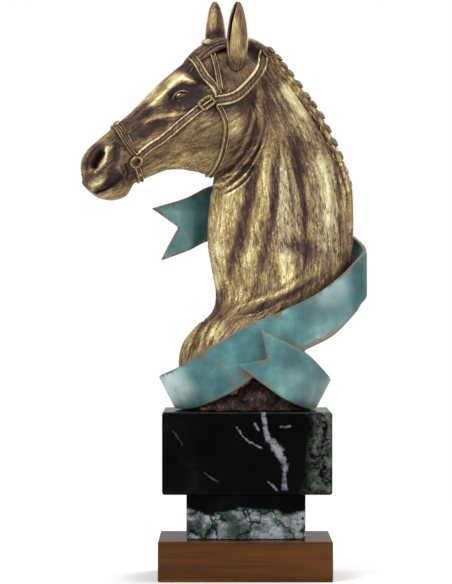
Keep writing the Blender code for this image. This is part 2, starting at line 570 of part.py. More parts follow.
def bridle(skin):
    """Every strap, ring and buckle, laid on the head."""
    made = []
    thick = STRAP_THICKNESS / UNIT
    wide = STRAP_WIDTH / UNIT
    loops = [(NOSEBAND_FRONT, HEAD_CORE, wide * 0.46), (NOSEBAND_BACK, HEAD_CORE, wide * 0.46),
             (BROWBAND, HEAD_CORE, wide), (EAR_STRAP, HEAD_CORE, wide * 0.7), (HEADPIECE, HEAD_CORE, wide * 1.35),
             (THROAT_STRAP, POLL_CORE, wide * 0.65), (CURB_STRAP, HEAD_CORE, wide * 0.7)]
    for guides, core, width in loops:
        path, normals = skin.around(mirrored(guides), core, 64)
        made.append(strap(path, normals, width, thick))
    for side in (1, -1):
        flip = np.array([1, side, 1])
        guides = [(x, y * side, z) for x, y, z in CHEEKPIECE]
        path, normals = skin.around(guides, HEAD_CORE, 40)
        made.append(strap(path, normals, wide, thick))
        last = len(path) - 1
        place = round(BUCKLE_PLACE * last)
        at, normal = path[place], normals[place]
        course = path[min(place + 3, last)] - path[max(place - 6, 0)]
        made.append(hoop(at + normal * thick, normal, BUCKLE_SIZE, BUCKLE_BAR, 0.35, course))
        at, normal = skin.seen(*BIT_RING)
        at, normal = at * flip, normal * flip
        made.append(hoop(at + normal * BIT_RING_RADIUS * 0.4, normal, (BIT_RING_RADIUS,) * 2, RING_BAR))
        knob, _ = skin.around([(x, y * side, z) for x, y, z in CURB_STRAP[2:]], HEAD_CORE, 2)
        made.append(ball(knob[0], KNOB_AXES, 0.0, 12, 8))
        made.append(ball(np.array(BROW_KNOB) * flip, KNOB_AXES, 0.0, 12, 8))
    return made


# The crest's outline over each knot of the mane, from the poll down.
MANE = [(5.8, 88.0), (7.7, 86.1), (9.1, 84.1), (10.9, 82.6), (13.2, 80.0), (15.2, 77.1), (16.7, 75.1), (18.7, 72.4),
        (20.4, 69.1), (22.0, 65.8), (23.6, 62.7), (25.0, 58.9), (26.0, 55.9)]
KNOT_AXES = (1.75, 1.3, 1.05)  # along the crest, across it and up
KNOT_SINK, KNOT_LEAN = 0.45, 0.42
POLL = [(0.0, 89.9), (3.0, 88.9)]
ROPE_SINK, ROPE_RADIUS = 1.1, 0.95
# Below the last knot the mane hangs loose along the crest.
LOOSE_MANE = [(20.6, 64.6), (22.9, 59.6), (24.1, 54.0), (24.6, 48.0), (24.7, 42.0), (24.7, 34.0)]
LOOSE_MANE_RADIUS = 2.1
FORELOCK_OUTER = [(-2.0, 89.9), (-6.6, 90.3), (-10.6, 88.6), (-13.6, 86.0), (-15.6, 83.4)]
FORELOCK_INNER = [(-2.6, 88.6), (-6.4, 88.5), (-9.8, 86.8), (-12.6, 84.6), (-14.6, 82.2)]
FORELOCK_HALF_WIDTH, FORELOCK_LOCKS, FORELOCK_RADIUS = 2.6, 5, 0.8


def mane():
    """A row of plaits, each rolled into a knot, on a rope of hair along the crest."""
    crest = np.array(MANE)
    course = np.gradient(crest, axis=0)
    course /= np.linalg.norm(course, axis=1)[:, None]
    inwards = np.stack([course[:, 1], -course[:, 0]], axis=1)
    made = []
    for (x, z), (dx, dz) in zip(crest + inwards * KNOT_SINK, course):
        made.append(ball((x, 0, z), KNOT_AXES, math.atan2(dz, dx) + KNOT_LEAN, 14, 9))
    rope = spline(np.vstack([POLL, crest + inwards * ROPE_SINK]), 60)
    made.append(tube([(x, 0, z) for x, z in rope], ROPE_RADIUS))
    return made


def loose_mane():
    swell = np.sin(np.linspace(0.5, math.pi - 0.5, 40)) ** 0.4
    return tube([(x, 0, z) for x, z in spline(LOOSE_MANE, 40)], LOOSE_MANE_RADIUS * swell, 16)


def forelock():
    """Locks that come forward between the ears and lie flat on the brow."""
    outer, inner = spline(FORELOCK_OUTER, 30), spline(FORELOCK_INNER, 30)
    tapering = 0.3 + 0.7 * np.sin(np.linspace(0.5, math.pi - 0.05, 30)) ** 0.6
    made = []
    for share in np.linspace(-1, 1, FORELOCK_LOCKS):
        line = outer + (inner - outer) * share ** 2
        path = [(x, share * FORELOCK_HALF_WIDTH, z) for x, z in line]
        made.append(tube(path, FORELOCK_RADIUS * tapering))
    return made


# The banner

# Its edges from the tail behind the throat to the tail in front: top edge, bottom edge, and the depths of the
# two edges, which the body pushes out where it is wider.
BANNER = [
    ((-22.9, 49.2), (-20.6, 36.4), 2.4, 1.6),
    ((-14.7, 51.7), (-13.8, 38.9), 4.6, 3.6),
    ((-7.6, 54.9), (-9.3, 41.1), 6.4, 6.0),
    ((0.7, 54.4), (-0.5, 43.1), 8.6, 8.8),
    ((11.0, 51.4), (9.8, 40.2), 9.4, 10.0),
    ((20.8, 46.5), (20.3, 35.3), 7.6, 8.6),
    ((26.4, 42.6), (26.4, 31.1), 4.6, 5.2),
    ((29.3, 39.4), (29.3, 27.9), 0.0, 0.0),
    ((27.7, 37.0), (28.0, 25.5), -4.4, -4.6),
    ((23.3, 32.6), (26.3, 22.8), -7.8, -7.6),
    ((17.4, 28.2), (21.4, 17.9), -10.2, -10.0),
    ((10.0, 24.5), (14.8, 14.5), -12.2, -12.4),
    ((0.2, 20.4), (5.6, 10.3), -13.2, -13.8),
    ((-8.7, 15.2), (-3.0, 4.2), -12.6, -13.4),
    ((-16.0, 10.5), (-11.6, 0.4), -8.6, -9.4),
    ((-20.6, 8.3), (-16.5, 0.3), -1.0, -1.4),
    ((-17.0, 8.7), (-13.5, 0.3), 8.0, 8.0),
    ((-7.4, 9.6), (-6.9, 0.4), 12.6, 13.0),
    ((2.4, 10.0), (1.9, 0.5), 13.6, 14.2),
    ((12.2, 9.4), (11.0, 0.4), 11.4, 12.0),
    ((20.3, 7.3), (16.7, 0.3), 2.0, 2.4),
    ((18.2, 10.6), (14.4, 0.3), -8.0, -8.4),
    ((14.4, 14.2), (9.8, 2.3), -13.0, -13.4),
    ((9.3, 16.9), (4.1, 6.3), -15.2, -15.6),
    ((3.9, 19.8), (-2.2, 11.0), -15.8, -16.2),
]
BANNER_LENGTHWAYS, BANNER_ACROSS = 150, 9
BANNER_NOTCH = (0.028, 0.026)  # depth of the two swallow tails, as shares of the banner's length
BANNER_CLEARANCE = 0.35
BANNER_TURNING = 5.0  # nearer than this to the plane of symmetry the banner turns around the neck


def banner_skin(skin):
    """The banner as a slab between its two faces, pushed clear of the body."""
    edges = spline([(*top, deep, *bottom, low) for top, bottom, deep, low in BANNER], 400)
    tops = edges[:, [0, 2, 1]]
    bottoms = edges[:, [3, 5, 4]]
    line = np.linspace(0, 1, len(edges))
    middle = np.zeros((BANNER_LENGTHWAYS, BANNER_ACROSS, 3))
    for j, v in enumerate(np.linspace(0, 1, BANNER_ACROSS)):
        notch = 1 - abs(2 * v - 1)
        along = np.linspace(BANNER_NOTCH[0] * notch, 1 - BANNER_NOTCH[1] * notch, BANNER_LENGTHWAYS)
        row = tops + (bottoms - tops) * v
        middle[:, j] = np.stack([np.interp(along, line, row[:, k]) for k in range(3)], axis=1)
    half = BANNER_THICKNESS / UNIT / 2
    push = np.zeros((BANNER_LENGTHWAYS, BANNER_ACROSS))
    for i in range(BANNER_LENGTHWAYS):
        for j in range(BANNER_ACROSS):
            x, y, z = middle[i, j]
            found = skin.side(x, max(z, 0.2))
            if found is not None and abs(y) > BANNER_TURNING:
                push[i, j] = max(0.0, abs(found[0][1]) + half + BANNER_CLEARANCE - abs(y))
    for _ in range(4):
        push[1:-1] = np.maximum(push[1:-1], np.maximum(push[:-2], push[2:]))
        push[:, 1:-1] = np.maximum(push[:, 1:-1], np.maximum(push[:, :-2], push[:, 2:]))
    for _ in range(10):
        push[1:-1] = (push[:-2] + 2 * push[1:-1] + push[2:]) / 4
        push[:, 1:-1] = (push[:, :-2] + 2 * push[:, 1:-1] + push[:, 2:]) / 4
    middle[:, :, 1] += np.sign(middle[:, :, 1]) * push * smoothstep(0, BANNER_TURNING, abs(middle[:, :, 1]))
    lengthways = np.gradient(middle, axis=0)
    crossways = np.gradient(middle, axis=1)
    normal = np.cross(lengthways, crossways)
    normal /= np.linalg.norm(normal, axis=2)[:, :, None]
    return slab(as_seen(middle + normal * half), as_seen(middle - normal * half))


def slab(front, back):
    """A closed skin between two grids of points."""
    rows, columns = front.shape[:2]
    vertices = np.vstack([front.reshape(-1, 3), back.reshape(-1, 3)])
    shift = rows * columns
    faces = []
    for i in range(rows - 1):
        for j in range(columns - 1):
            a, b, c, d = i * columns + j, i * columns + j + 1, (i + 1) * columns + j + 1, (i + 1) * columns + j
            faces.append((a, b, c, d))
            faces.append((shift + d, shift + c, shift + b, shift + a))
    rim = [i for i in range(columns)]
    rim += [i * columns + columns - 1 for i in range(1, rows)]
    rim += [(rows - 1) * columns + j for j in range(columns - 2, -1, -1)]
    rim += [i * columns for i in range(rows - 2, 0, -1)]
    for a, b in zip(rim, rim[1:] + rim[:1]):
        faces.append((b, a, shift + a, shift + b))
    return vertices, faces


def flat_cut(mesh, floor):
    """Cuts the mesh off at this height and closes it with a flat underside."""
    work = bmesh.new()
    work.from_mesh(mesh)
    everything = work.verts[:] + work.edges[:] + work.faces[:]
    cut = bmesh.ops.bisect_plane(work, geom=everything, plane_co=(0, 0, floor), plane_no=(0, 0, 1),
                                 clear_inner=True)
    bmesh.ops.holes_fill(work, edges=[edge for edge in work.edges if edge.is_boundary], sides=0)
    bmesh.ops.triangulate(work, faces=[face for face in work.faces if len(face.verts) > 4])
    bmesh.ops.recalc_face_normals(work, faces=work.faces)
    work.to_mesh(mesh)
    work.free()
    return mesh


def thinned(mesh, triangles):
    """The mesh with about this many triangles, closest together on the head."""
    helper = bpy.data.objects.new("helper", mesh)
    group = helper.vertex_groups.new(name="coarse")
    head = HEAD_DETAIL * smoothstep(*HEAD_HEIGHTS, (points_of(mesh)[:, 2] - BUST_FLOOR) / UNIT)
    for index, weight in enumerate(head):
        group.add([index], float(1 - weight), "REPLACE")
    bpy.context.scene.collection.objects.link(helper)
    modifier = helper.modifiers.new("Decimate", "DECIMATE")
    modifier.ratio = triangles / (2 * len(mesh.polygons))
    modifier.vertex_group = group.name
    modifier.vertex_group_factor = HEAD_FACTOR
    bpy.context.view_layer.update()
    graph = bpy.context.evaluated_depsgraph_get()
    result = bpy.data.meshes.new_from_object(helper.evaluated_get(graph))
    bpy.data.objects.remove(helper)
    return result


def largest_piece(mesh):
    """The mesh without the crumbs that melting may leave beside its main piece."""
    work = bmesh.new()
    work.from_mesh(mesh)
    work.verts.ensure_lookup_table()
    label, groups = {}, []
    for seed in work.verts:
        if seed.index in label:
            continue
        group, front = [], [seed]
        label[seed.index] = len(groups)
        while front:
            vertex = front.pop()
            group.append(vertex)
            for edge in vertex.link_edges:
                other = edge.other_vert(vertex)
                if other.index not in label:
                    label[other.index] = len(groups)
                    front.append(other)
        groups.append(group)
    groups.sort(key=len)
    crumbs = [vertex for group in groups[:-1] for vertex in group]
    bmesh.ops.delete(work, geom=crumbs, context="VERTS")
    work.to_mesh(mesh)
    work.free()
    return mesh


# The pieces

def material(name, colour, roughness, metallic=0.0):
    made = bpy.data.materials.new(name)
    made.use_nodes = True
    shader = made.node_tree.nodes["Principled BSDF"]
    shader.inputs["Base Color"].default_value = (*colour, 1)
    shader.inputs["Roughness"].default_value = roughness
    shader.inputs["Metallic"].default_value = metallic
    return made


def piece(name, mesh, paint):
    part = bpy.data.objects.new(name, mesh)
    mesh.materials.clear()
    mesh.materials.append(paint)
    mesh.name = name
    bpy.context.scene.collection.objects.link(part)
    return part


def block(name, size, offset, floor, bevel, paint):
    """A rectangular block standing on floor, offset along X, its edges rounded off."""
    width, depth, height = size
    mesh = bpy.data.meshes.new(name)
    work = bmesh.new()
    bmesh.ops.create_cube(work, size=1.0)
    for vertex in work.verts:
        x, y, z = vertex.co
        vertex.co = (x * width + offset, y * depth, (z + 0.5) * height + floor)
    bmesh.ops.bevel(work, geom=work.edges[:], offset=bevel, segments=3, profile=0.5, affect="EDGES")
    bmesh.ops.recalc_face_normals(work, faces=work.faces)
    work.to_mesh(mesh)
    work.free()
    mesh.shade_smooth()
    mesh.set_sharp_from_angle(angle=math.radians(40))
    return piece(name, mesh, paint)


def bust_parts(voxel):
    """Every skin of the bust, each closed, in hundredths of its height: body, details, banner."""
    ground = [ball(centre, axes, math.radians(tilt), 28, 16) for centre, axes, tilt in GROUND]
    body = fused([head_skin(), neck_skin(), loose_mane()] + ground, voxel, relax=6)
    sculpted(body, HEAD_RELIEF + NECK_RELIEF)
    skin = Skin(body)
    details = eyes(skin) + bridle(skin) + mane() + forelock()
    body_skin, details = turned_skin(skin_of(body)), [turned_skin(detail) for detail in details]
    ears = [turned_skin(ear(side), 1.0) for side in (1, -1)]
    return body_skin, ears + details, banner_skin(skin)


def turned_skin(skin, share=None):
    points, faces = skin
    return turned(points, share), faces


def bust(paint):
    """The horse with its bridle and banner, one casting."""
    voxel = VOXEL / UNIT
    body, details, banner = bust_parts(voxel)
    whole = largest_piece(fused([body, banner] + details, voxel, relax=1))
    set_points(whole, points_of(whole) * UNIT + np.array([0, 0, BUST_FLOOR]))
    whole = thinned(whole, BUST_TRIANGLES)
    flat_cut(whole, BUST_FLOOR)
    whole.shade_smooth()
    return piece("horse_bust", whole, paint)


def main():
    for old in list(bpy.data.objects):
        bpy.data.objects.remove(old)
    walnut = material("walnut", (0.16, 0.07, 0.03), 0.42)
    marble = material("black_marble", (0.02, 0.02, 0.022), 0.12)
    gold = material("antique_gold", (0.48, 0.34, 0.15), 0.38, 0.85)
    block("wood_foot", (FOOT_WIDTH, FOOT_DEPTH, FOOT_HEIGHT), 0.0, FOOT_FLOOR, FOOT_BEVEL, walnut)
    block("neck_block", (NECK_BLOCK_WIDTH, NECK_BLOCK_DEPTH, NECK_BLOCK_HEIGHT), NECK_BLOCK_OFFSET,
          NECK_BLOCK_FLOOR, NECK_BLOCK_BEVEL, marble)
    block("top_block", (TOP_BLOCK_WIDTH, TOP_BLOCK_DEPTH, TOP_BLOCK_HEIGHT), TOP_BLOCK_OFFSET,
          TOP_BLOCK_FLOOR, TOP_BLOCK_BEVEL, marble)
    bust(gold)


if __name__ == "__main__":
    main()
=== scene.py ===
# %% [markdown]
# # Dressing a horse trophy
#
# The trophy is a horse's head and neck cast in resin, painted antique gold, with a blue-green banner wound
# round it. It stands on two blocks of black marble and a walnut foot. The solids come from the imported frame,
# which is loaded first and never moved. This lesson gives every surface its fine form and its finish.

# %% Load the frame
import math
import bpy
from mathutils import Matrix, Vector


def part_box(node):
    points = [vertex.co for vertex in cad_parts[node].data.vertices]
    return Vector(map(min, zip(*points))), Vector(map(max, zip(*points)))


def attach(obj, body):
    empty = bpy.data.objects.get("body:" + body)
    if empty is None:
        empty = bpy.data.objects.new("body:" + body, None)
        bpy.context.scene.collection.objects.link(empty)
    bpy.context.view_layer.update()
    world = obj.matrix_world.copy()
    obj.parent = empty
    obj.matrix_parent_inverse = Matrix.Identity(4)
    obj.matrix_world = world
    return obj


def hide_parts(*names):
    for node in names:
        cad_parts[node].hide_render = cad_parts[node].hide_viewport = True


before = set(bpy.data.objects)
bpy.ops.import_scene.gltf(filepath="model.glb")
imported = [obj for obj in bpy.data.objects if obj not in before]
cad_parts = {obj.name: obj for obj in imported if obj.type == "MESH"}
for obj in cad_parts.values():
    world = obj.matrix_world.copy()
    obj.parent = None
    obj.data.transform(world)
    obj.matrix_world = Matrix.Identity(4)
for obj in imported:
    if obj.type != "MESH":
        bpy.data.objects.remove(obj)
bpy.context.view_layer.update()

import bmesh
import bpy
import numpy as np
from mathutils import Vector, noise
from mathutils.bvhtree import BVHTree
from mathutils.kdtree import KDTree

# %% [markdown]
# ## The camera
#
# The photograph was taken level with the middle of the trophy, from some two metres away with a long lens:
# the marble block's top shows as a thin strip, and upright edges stay upright. A camera that looks straight
# along +Y needs no tilt and no shift, only the right height and a lens that gives the photograph's scale.

# %% Place the camera
PHOTO_HEIGHT = 584  # in pixels, the longer side of an upright frame
CAMERA_PLACE = (-0.0122, -2.0, 0.182)
PIXELS_PER_METRE = 1560  # at the trophy's middle plane
camera_data = bpy.data.cameras.new("camera")
camera = bpy.data.objects.new("camera", camera_data)
bpy.context.scene.collection.objects.link(camera)
bpy.context.scene.camera = camera
camera.location = CAMERA_PLACE
camera.rotation_euler = (math.radians(90), 0, 0)
camera_data.lens = camera_data.sensor_width * PIXELS_PER_METRE * abs(CAMERA_PLACE[1]) / PHOTO_HEIGHT
print("lens in mm:", round(camera_data.lens, 1))

# %% [markdown]
# ## Units for a free form
#
# The bust is a free form, so its places are given in hundredths of its own height, with x and z as the side
# view shows them. The bust's floor comes from the frame: the horse stands where its CAD node stands.

# %% Scale of the bust
BUST_HEIGHT = 0.2615
UNIT = BUST_HEIGHT / 100
BUST_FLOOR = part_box("horse_bust")[0].z
MILLIMETRE = 0.001 / UNIT
print("one unit is", round(UNIT * 1000, 3), "mm; the bust's floor is at", round(BUST_FLOOR, 4), "m")

# %% [markdown]
# ## Curves and closed skins
#
# A sculptor's curve passes through a few points, so a Catmull-Rom spline is used: it touches each point that
# is given. A form is then a loft, rings of points joined by quads and closed with a pole at each end. Several
# closed skins melt into one with a voxel remesh, much as clay rolls are smeared together.

# %% Splines, lofts and melting
def spline(points, count):
    """count points evenly spaced along a smooth curve through the given points, of any dimension."""
    points = np.array(points, float)
    before = 2 * points[0] - points[1]
    after = 2 * points[-1] - points[-2]
    knots = np.vstack([before, points, after])
    dense = []
    for i in range(1, len(knots) - 2):
        p0, p1, p2, p3 = knots[i - 1 : i + 3]
        for u in np.linspace(0, 1, 16, endpoint=False):
            dense.append(
                0.5 * (2 * p1 + (p2 - p0) * u + (2 * p0 - 5 * p1 + 4 * p2 - p3) * u * u
                       + (3 * p1 - p0 - 3 * p2 + p3) * u ** 3)
            )
    dense.append(points[-1])
    dense = np.array(dense)
    run = np.concatenate([[0], np.cumsum(np.linalg.norm(np.diff(dense, axis=0), axis=1))])
    where = np.linspace(0, run[-1], count)
    return np.stack([np.interp(where, run, column) for column in dense.T], axis=1)


def loft(rings):
    """Vertices and faces of a closed skin over rings of equal point counts, with a pole at each end."""
    rings = np.array(rings, float)
    count, around = rings.shape[:2]
    vertices = np.vstack([rings.reshape(-1, 3), rings[0].mean(0), rings[-1].mean(0)])
    first, last = count * around, count * around + 1
    faces = []
    for i in range(count - 1):
        for j in range(around):
            k = (j + 1) % around
            faces.append((i * around + j, i * around + k, (i + 1) * around + k, (i + 1) * around + j))
    for j in range(around):
        k = (j + 1) % around
        faces.append((first, k, j))
        faces.append((last, (count - 1) * around + j, (count - 1) * around + k))
    return vertices, faces


def shell_mesh(name, parts):
    """One mesh that holds several closed skins, each with its faces pointing out."""
    mesh = bpy.data.meshes.new(name)
    vertices, faces, start = [], [], 0
    for points, polygons in parts:
        vertices += [tuple(p) for p in points]
        faces += [tuple(start + i for i in polygon) for polygon in polygons]
        start += len(points)
    mesh.from_pydata(vertices, [], faces)
    work = bmesh.new()
    work.from_mesh(mesh)
    bmesh.ops.recalc_face_normals(work, faces=work.faces)
    work.to_mesh(mesh)
    work.free()
    return mesh


def evaluated(mesh, modifiers):
    """The mesh after these modifiers, given as (type, {setting: value})."""
    helper = bpy.data.objects.new("helper", mesh)
    bpy.context.scene.collection.objects.link(helper)
    for kind, settings in modifiers:
        modifier = helper.modifiers.new(kind.title(), kind)
        for setting, value in settings.items():
            setattr(modifier, setting, value)
    bpy.context.view_layer.update()
    graph = bpy.context.evaluated_depsgraph_get()
    result = bpy.data.meshes.new_from_object(helper.evaluated_get(graph))
    bpy.data.objects.remove(helper)
    return result


def fused(parts, voxel, relax=0):
    """Several overlapping closed skins melted into one, at a grid of this size."""
    steps = [("REMESH", {"mode": "VOXEL", "voxel_size": voxel, "adaptivity": 0.0})]
    if relax:
        steps.append(("SMOOTH", {"factor": 0.5, "iterations": relax}))
    return evaluated(shell_mesh("fused", parts), steps)


# %% Reading and moving a mesh's points
def points_of(mesh):
    """The mesh's points, one row of x, y and z for each."""
    points = np.empty(len(mesh.vertices) * 3, np.float32)
    mesh.vertices.foreach_get("co", points)
    return points.reshape(-1, 3).astype(float)


def normals_of(mesh):
    """The mesh's normals at its points."""
    normals = np.empty(len(mesh.vertices) * 3, np.float32)
    mesh.vertices.foreach_get("normal", normals)
    return normals.reshape(-1, 3).astype(float)


def set_points(mesh, points):
    """Moves the mesh's points to these places."""
    mesh.vertices.foreach_set("co", points.astype(np.float32).ravel())
    mesh.update()


def skin_of(mesh):
    """The mesh's points and faces, in the form that a loft gives."""
    return points_of(mesh), [tuple(polygon.vertices) for polygon in mesh.polygons]


def smoothstep(low, high, value):
    """A smooth rise from 0 at low to 1 at high."""
    share = np.clip((value - low) / (high - low), 0, 1)
    return share * share * (3 - 2 * share)


# %% [markdown]
# ## The horse's rough form
#
# Head and neck are two lofts. Each section of the head is set across a line from poll to lips, and each
# section of the neck runs from its front edge to its crest. A sculptor blocks a horse out in the same way,
# with the skull's wedge set on the curved neck, before any eye or vein is cut.

# %% Sections of the head and neck
AROUND = 72
HEAD_START = np.array([-1.3, 78.9])
HEAD_ALONG = np.array([-0.872, -0.488])
HEAD_UP = np.array([-0.488, 0.872])
# Sections across the head, from behind the ears to the lips: place along the head's axis, underside, top
# line, and half widths low on the cheek, in the middle and near the top.
HEAD_SECTIONS = [
    (-7.5, -2.0, 3.6, 2.6, 3.6, 2.6),
    (-4.5, -5.0, 8.2, 5.0, 6.3, 4.6),
    (0.0, -8.0, 11.0, 6.6, 7.4, 5.2),
    (5.0, -12.5, 12.0, 7.0, 7.6, 5.8),
    (9.0, -15.2, 11.8, 6.4, 7.6, 6.7),
    (13.0, -16.3, 11.1, 5.6, 7.5, 7.6),
    (16.5, -15.8, 10.4, 5.2, 7.2, 7.0),
    (19.0, -13.2, 9.8, 5.0, 6.9, 6.0),
    (22.0, -10.8, 8.9, 4.6, 6.4, 5.2),
    (26.0, -8.9, 7.7, 4.0, 5.5, 4.3),
    (30.5, -8.3, 6.8, 3.4, 4.6, 3.7),
    (34.2, -7.9, 6.1, 3.4, 4.4, 3.5),
    (37.2, -9.6, 5.5, 3.6, 4.7, 3.7),
    (40.3, -9.2, 4.7, 3.7, 4.9, 3.6),
    (42.4, -7.9, 3.4, 3.3, 4.6, 3.1),
    (43.8, -6.2, 1.3, 2.5, 3.6, 2.2),
    (44.7, -4.4, -0.9, 1.2, 1.7, 1.1),
]
# Sections across the neck and chest, from the poll down: front point, back point, and half widths near the
# front, in the middle and near the back.
NECK_SECTIONS = [
    (-2.0, 78.0, 1.4, 89.0, 3.4, 4.2, 2.4),
    (-3.2, 73.2, 6.2, 86.8, 4.2, 5.0, 2.8),
    (-4.2, 68.6, 9.4, 82.9, 4.8, 5.6, 3.2),
    (-6.2, 61.2, 14.4, 76.8, 5.2, 6.6, 3.6),
    (-7.7, 56.0, 18.5, 70.2, 5.2, 7.0, 4.2),
    (-8.5, 51.4, 21.5, 64.3, 5.4, 7.4, 4.6),
    (-9.1, 45.3, 24.2, 56.6, 5.8, 7.9, 5.0),
    (-9.0, 39.7, 25.4, 49.0, 6.2, 8.5, 5.5),
    (-7.9, 33.1, 25.9, 41.6, 6.8, 9.2, 6.3),
    (-7.1, 27.2, 25.6, 34.8, 7.6, 10.0, 7.0),
    (-8.3, 23.4, 24.0, 28.9, 8.6, 10.5, 7.6),
    (-12.2, 20.0, 21.2, 24.0, 9.6, 11.0, 8.0),
    (-15.2, 16.0, 17.8, 19.6, 10.0, 11.2, 8.0),
    (-16.2, 10.8, 14.8, 14.6, 10.0, 11.0, 8.0),
    (-15.0, 6.1, 12.8, 9.0, 9.4, 10.4, 8.0),
    (-12.6, 2.4, 12.4, 3.0, 8.8, 9.8, 8.0),
    (-12.0, -3.0, 12.6, -3.0, 8.6, 9.6, 8.0),
]


# %% Rings across the form
def section_ring(low, high, widths, boxiness):
    """A closed ring from low to high in the plane of symmetry, bulging to the three half widths between."""
    low, high = np.array(low), np.array(high)
    reach = spline([(-1, widths[0] * 0.8), (-0.5, widths[0]), (0, widths[1]), (0.5, widths[2]),
                    (1, widths[2] * 0.8)], 41)
    ring = []
    for turn in np.linspace(0, 2 * math.pi, AROUND, endpoint=False):
        height, side = math.sin(turn), math.cos(turn)
        half = np.interp(height, reach[:, 0], reach[:, 1])
        across = half * math.copysign(abs(side) ** boxiness, side)
        x, z = (low + high) / 2 + (high - low) / 2 * height
        ring.append((x, across, z))
    return ring


def head_skin():
    """The head as a closed skin, looking straight ahead."""
    rings = []
    for along, under, top, low, middle, high in spline(HEAD_SECTIONS, 120):
        start = HEAD_START + HEAD_ALONG * along
        rings.append(section_ring(start + HEAD_UP * under, start + HEAD_UP * top, (low, middle, high), 0.8))
    return loft(rings)


def neck_skin():
    """The neck and chest as a closed skin."""
    rings = []
    for x0, z0, x1, z1, front, middle, back in spline(NECK_SECTIONS, 120):
        rings.append(section_ring((x0, z0), (x1, z1), (front, middle, back), 0.85))
    return loft(rings)


def tilted(points, tilt):
    """The points turned by this angle in the side view."""
    x, z = points[:, 0], points[:, 2]
    return np.stack([x * math.cos(tilt) - z * math.sin(tilt), points[:, 1],
                     x * math.sin(tilt) + z * math.cos(tilt)], axis=1)


def ball(centre, axes, tilt=0.0, around=20, rings=12):
    """An ellipsoid with these half axes, tilted in the side view."""
    skin = []
    for lift in np.linspace(-math.pi / 2, math.pi / 2, rings + 2)[1:-1]:
        skin.append([(math.cos(lift) * math.cos(a), math.cos(lift) * math.sin(a), math.sin(lift))
                     for a in np.linspace(0, 2 * math.pi, around, endpoint=False)])
    vertices, faces = loft(skin)
    vertices[-2:] = [(0, 0, -1), (0, 0, 1)]
    return tilted(vertices * np.array(axes), tilt) + np.array(centre), faces


# %% [markdown]
# ## The turned head
#
# The horse looks along the banner but turns its face a little to the viewer. Everything is modelled looking
# straight ahead, where left and right mirror each other, and is then turned: fully from the cheek forwards,
# not at all on the neck. A near part looks larger than a far one, so each part that swings forward is drawn
# in by that much, and the outline stays as the viewer sees it.

# %% Turn the head
HEAD_TURN = math.radians(18)
TURN_PIVOT = 2.0
NEAR = -1  # the side that the face turns to has negative y
VIEWPOINT = np.array([CAMERA_PLACE[0], CAMERA_PLACE[1], CAMERA_PLACE[2] - BUST_FLOOR]) / UNIT


def turn_share(points):
    """How far each point follows the turn of the head: 0 on the neck, 1 from the cheek forwards."""
    across = points[:, [0, 2]] - HEAD_START
    along, up = across @ HEAD_ALONG, across @ HEAD_UP
    return smoothstep(-9, 6, along) * smoothstep(-24, -13, up)


def as_seen(points):
    """The points moved so that the viewpoint sees them where the side view has them."""
    points = np.array(points, float)
    closeness = (points[..., 1:2] - VIEWPOINT[1]) / -VIEWPOINT[1]
    moved = VIEWPOINT + (points - VIEWPOINT) * closeness
    moved[..., 1] = points[..., 1]
    return moved


def turned(points, share=None):
    """The points with the head turned, stretched so that its side view keeps its length."""
    points = np.array(points, float)
    share = turn_share(points) if share is None else np.full(len(points), share)
    angle = HEAD_TURN * share
    forward, side = points[:, 0] - TURN_PIVOT, points[:, 1]
    swung = np.stack([points[:, 0] - side * np.sin(angle),
                      forward * np.tan(angle) + side * np.cos(angle), points[:, 2]], axis=1)
    return swung + (as_seen(swung) - swung) * share[:, None]


# %% [markdown]
# ## Laying things on the skin
#
# Straps, folds and veins are drawn on the side view and thrown onto the surface with rays. Working on the
# surface itself keeps a vein on the cheek when the cheek's width changes.

# %% Find places on the skin
class Skin:
    """A surface to lay things on, in the frame where the head looks straight ahead."""

    def __init__(self, mesh):
        points, faces = skin_of(mesh)
        self.tree = BVHTree.FromPolygons([Vector(p) for p in points], faces)

    def side(self, x, z):
        """The near side's surface at this place of the side view, with its normal, or None."""
        place, normal, _, _ = self.tree.ray_cast(Vector((x, NEAR * 60, z)), Vector((0, -NEAR, 0)))
        return None if place is None else (np.array(place), np.array(normal))

    def seen(self, x, z):
        """The near side's point that shows at this place once the head is turned."""
        own = x
        for _ in range(4):
            found = self.side(own, z)
            if found is None:
                own -= NEAR * 0.5
                continue
            angle = HEAD_TURN * turn_share(found[0][None])[0]
            own = x + found[0][1] * math.sin(angle)
        found = self.side(own, z)
        if found is None:
            found = (np.array([own, 0, z]), np.array([0, NEAR, 0]))
        return found

    def around(self, guides, core, count):
        """Points and normals of the surface where rays from the core segment through the guides leave it."""
        start, end = np.array(core, float)
        reach = end - start
        places, normals = [], []
        for guide in spline(guides, count):
            share = np.clip((guide - start) @ reach / (reach @ reach), 0, 1)
            inside = start + reach * share
            aim = Vector(guide - inside).normalized()
            place, normal, _, _ = self.tree.ray_cast(Vector(inside), aim)
            if place is None:
                continue
            places.append(np.array(place))
            normals.append(np.array(normal) * (1 if normal.dot(aim) > 0 else -1))
        return np.array(places), np.array(normals)


# %% Carve along a path
LONG_STROKE, TAPER = 8.0, 0.22  # strokes longer than this thin out over this share of their length
OVERRUN = 0.06  # share of its length by which that fading passes a stroke's ends


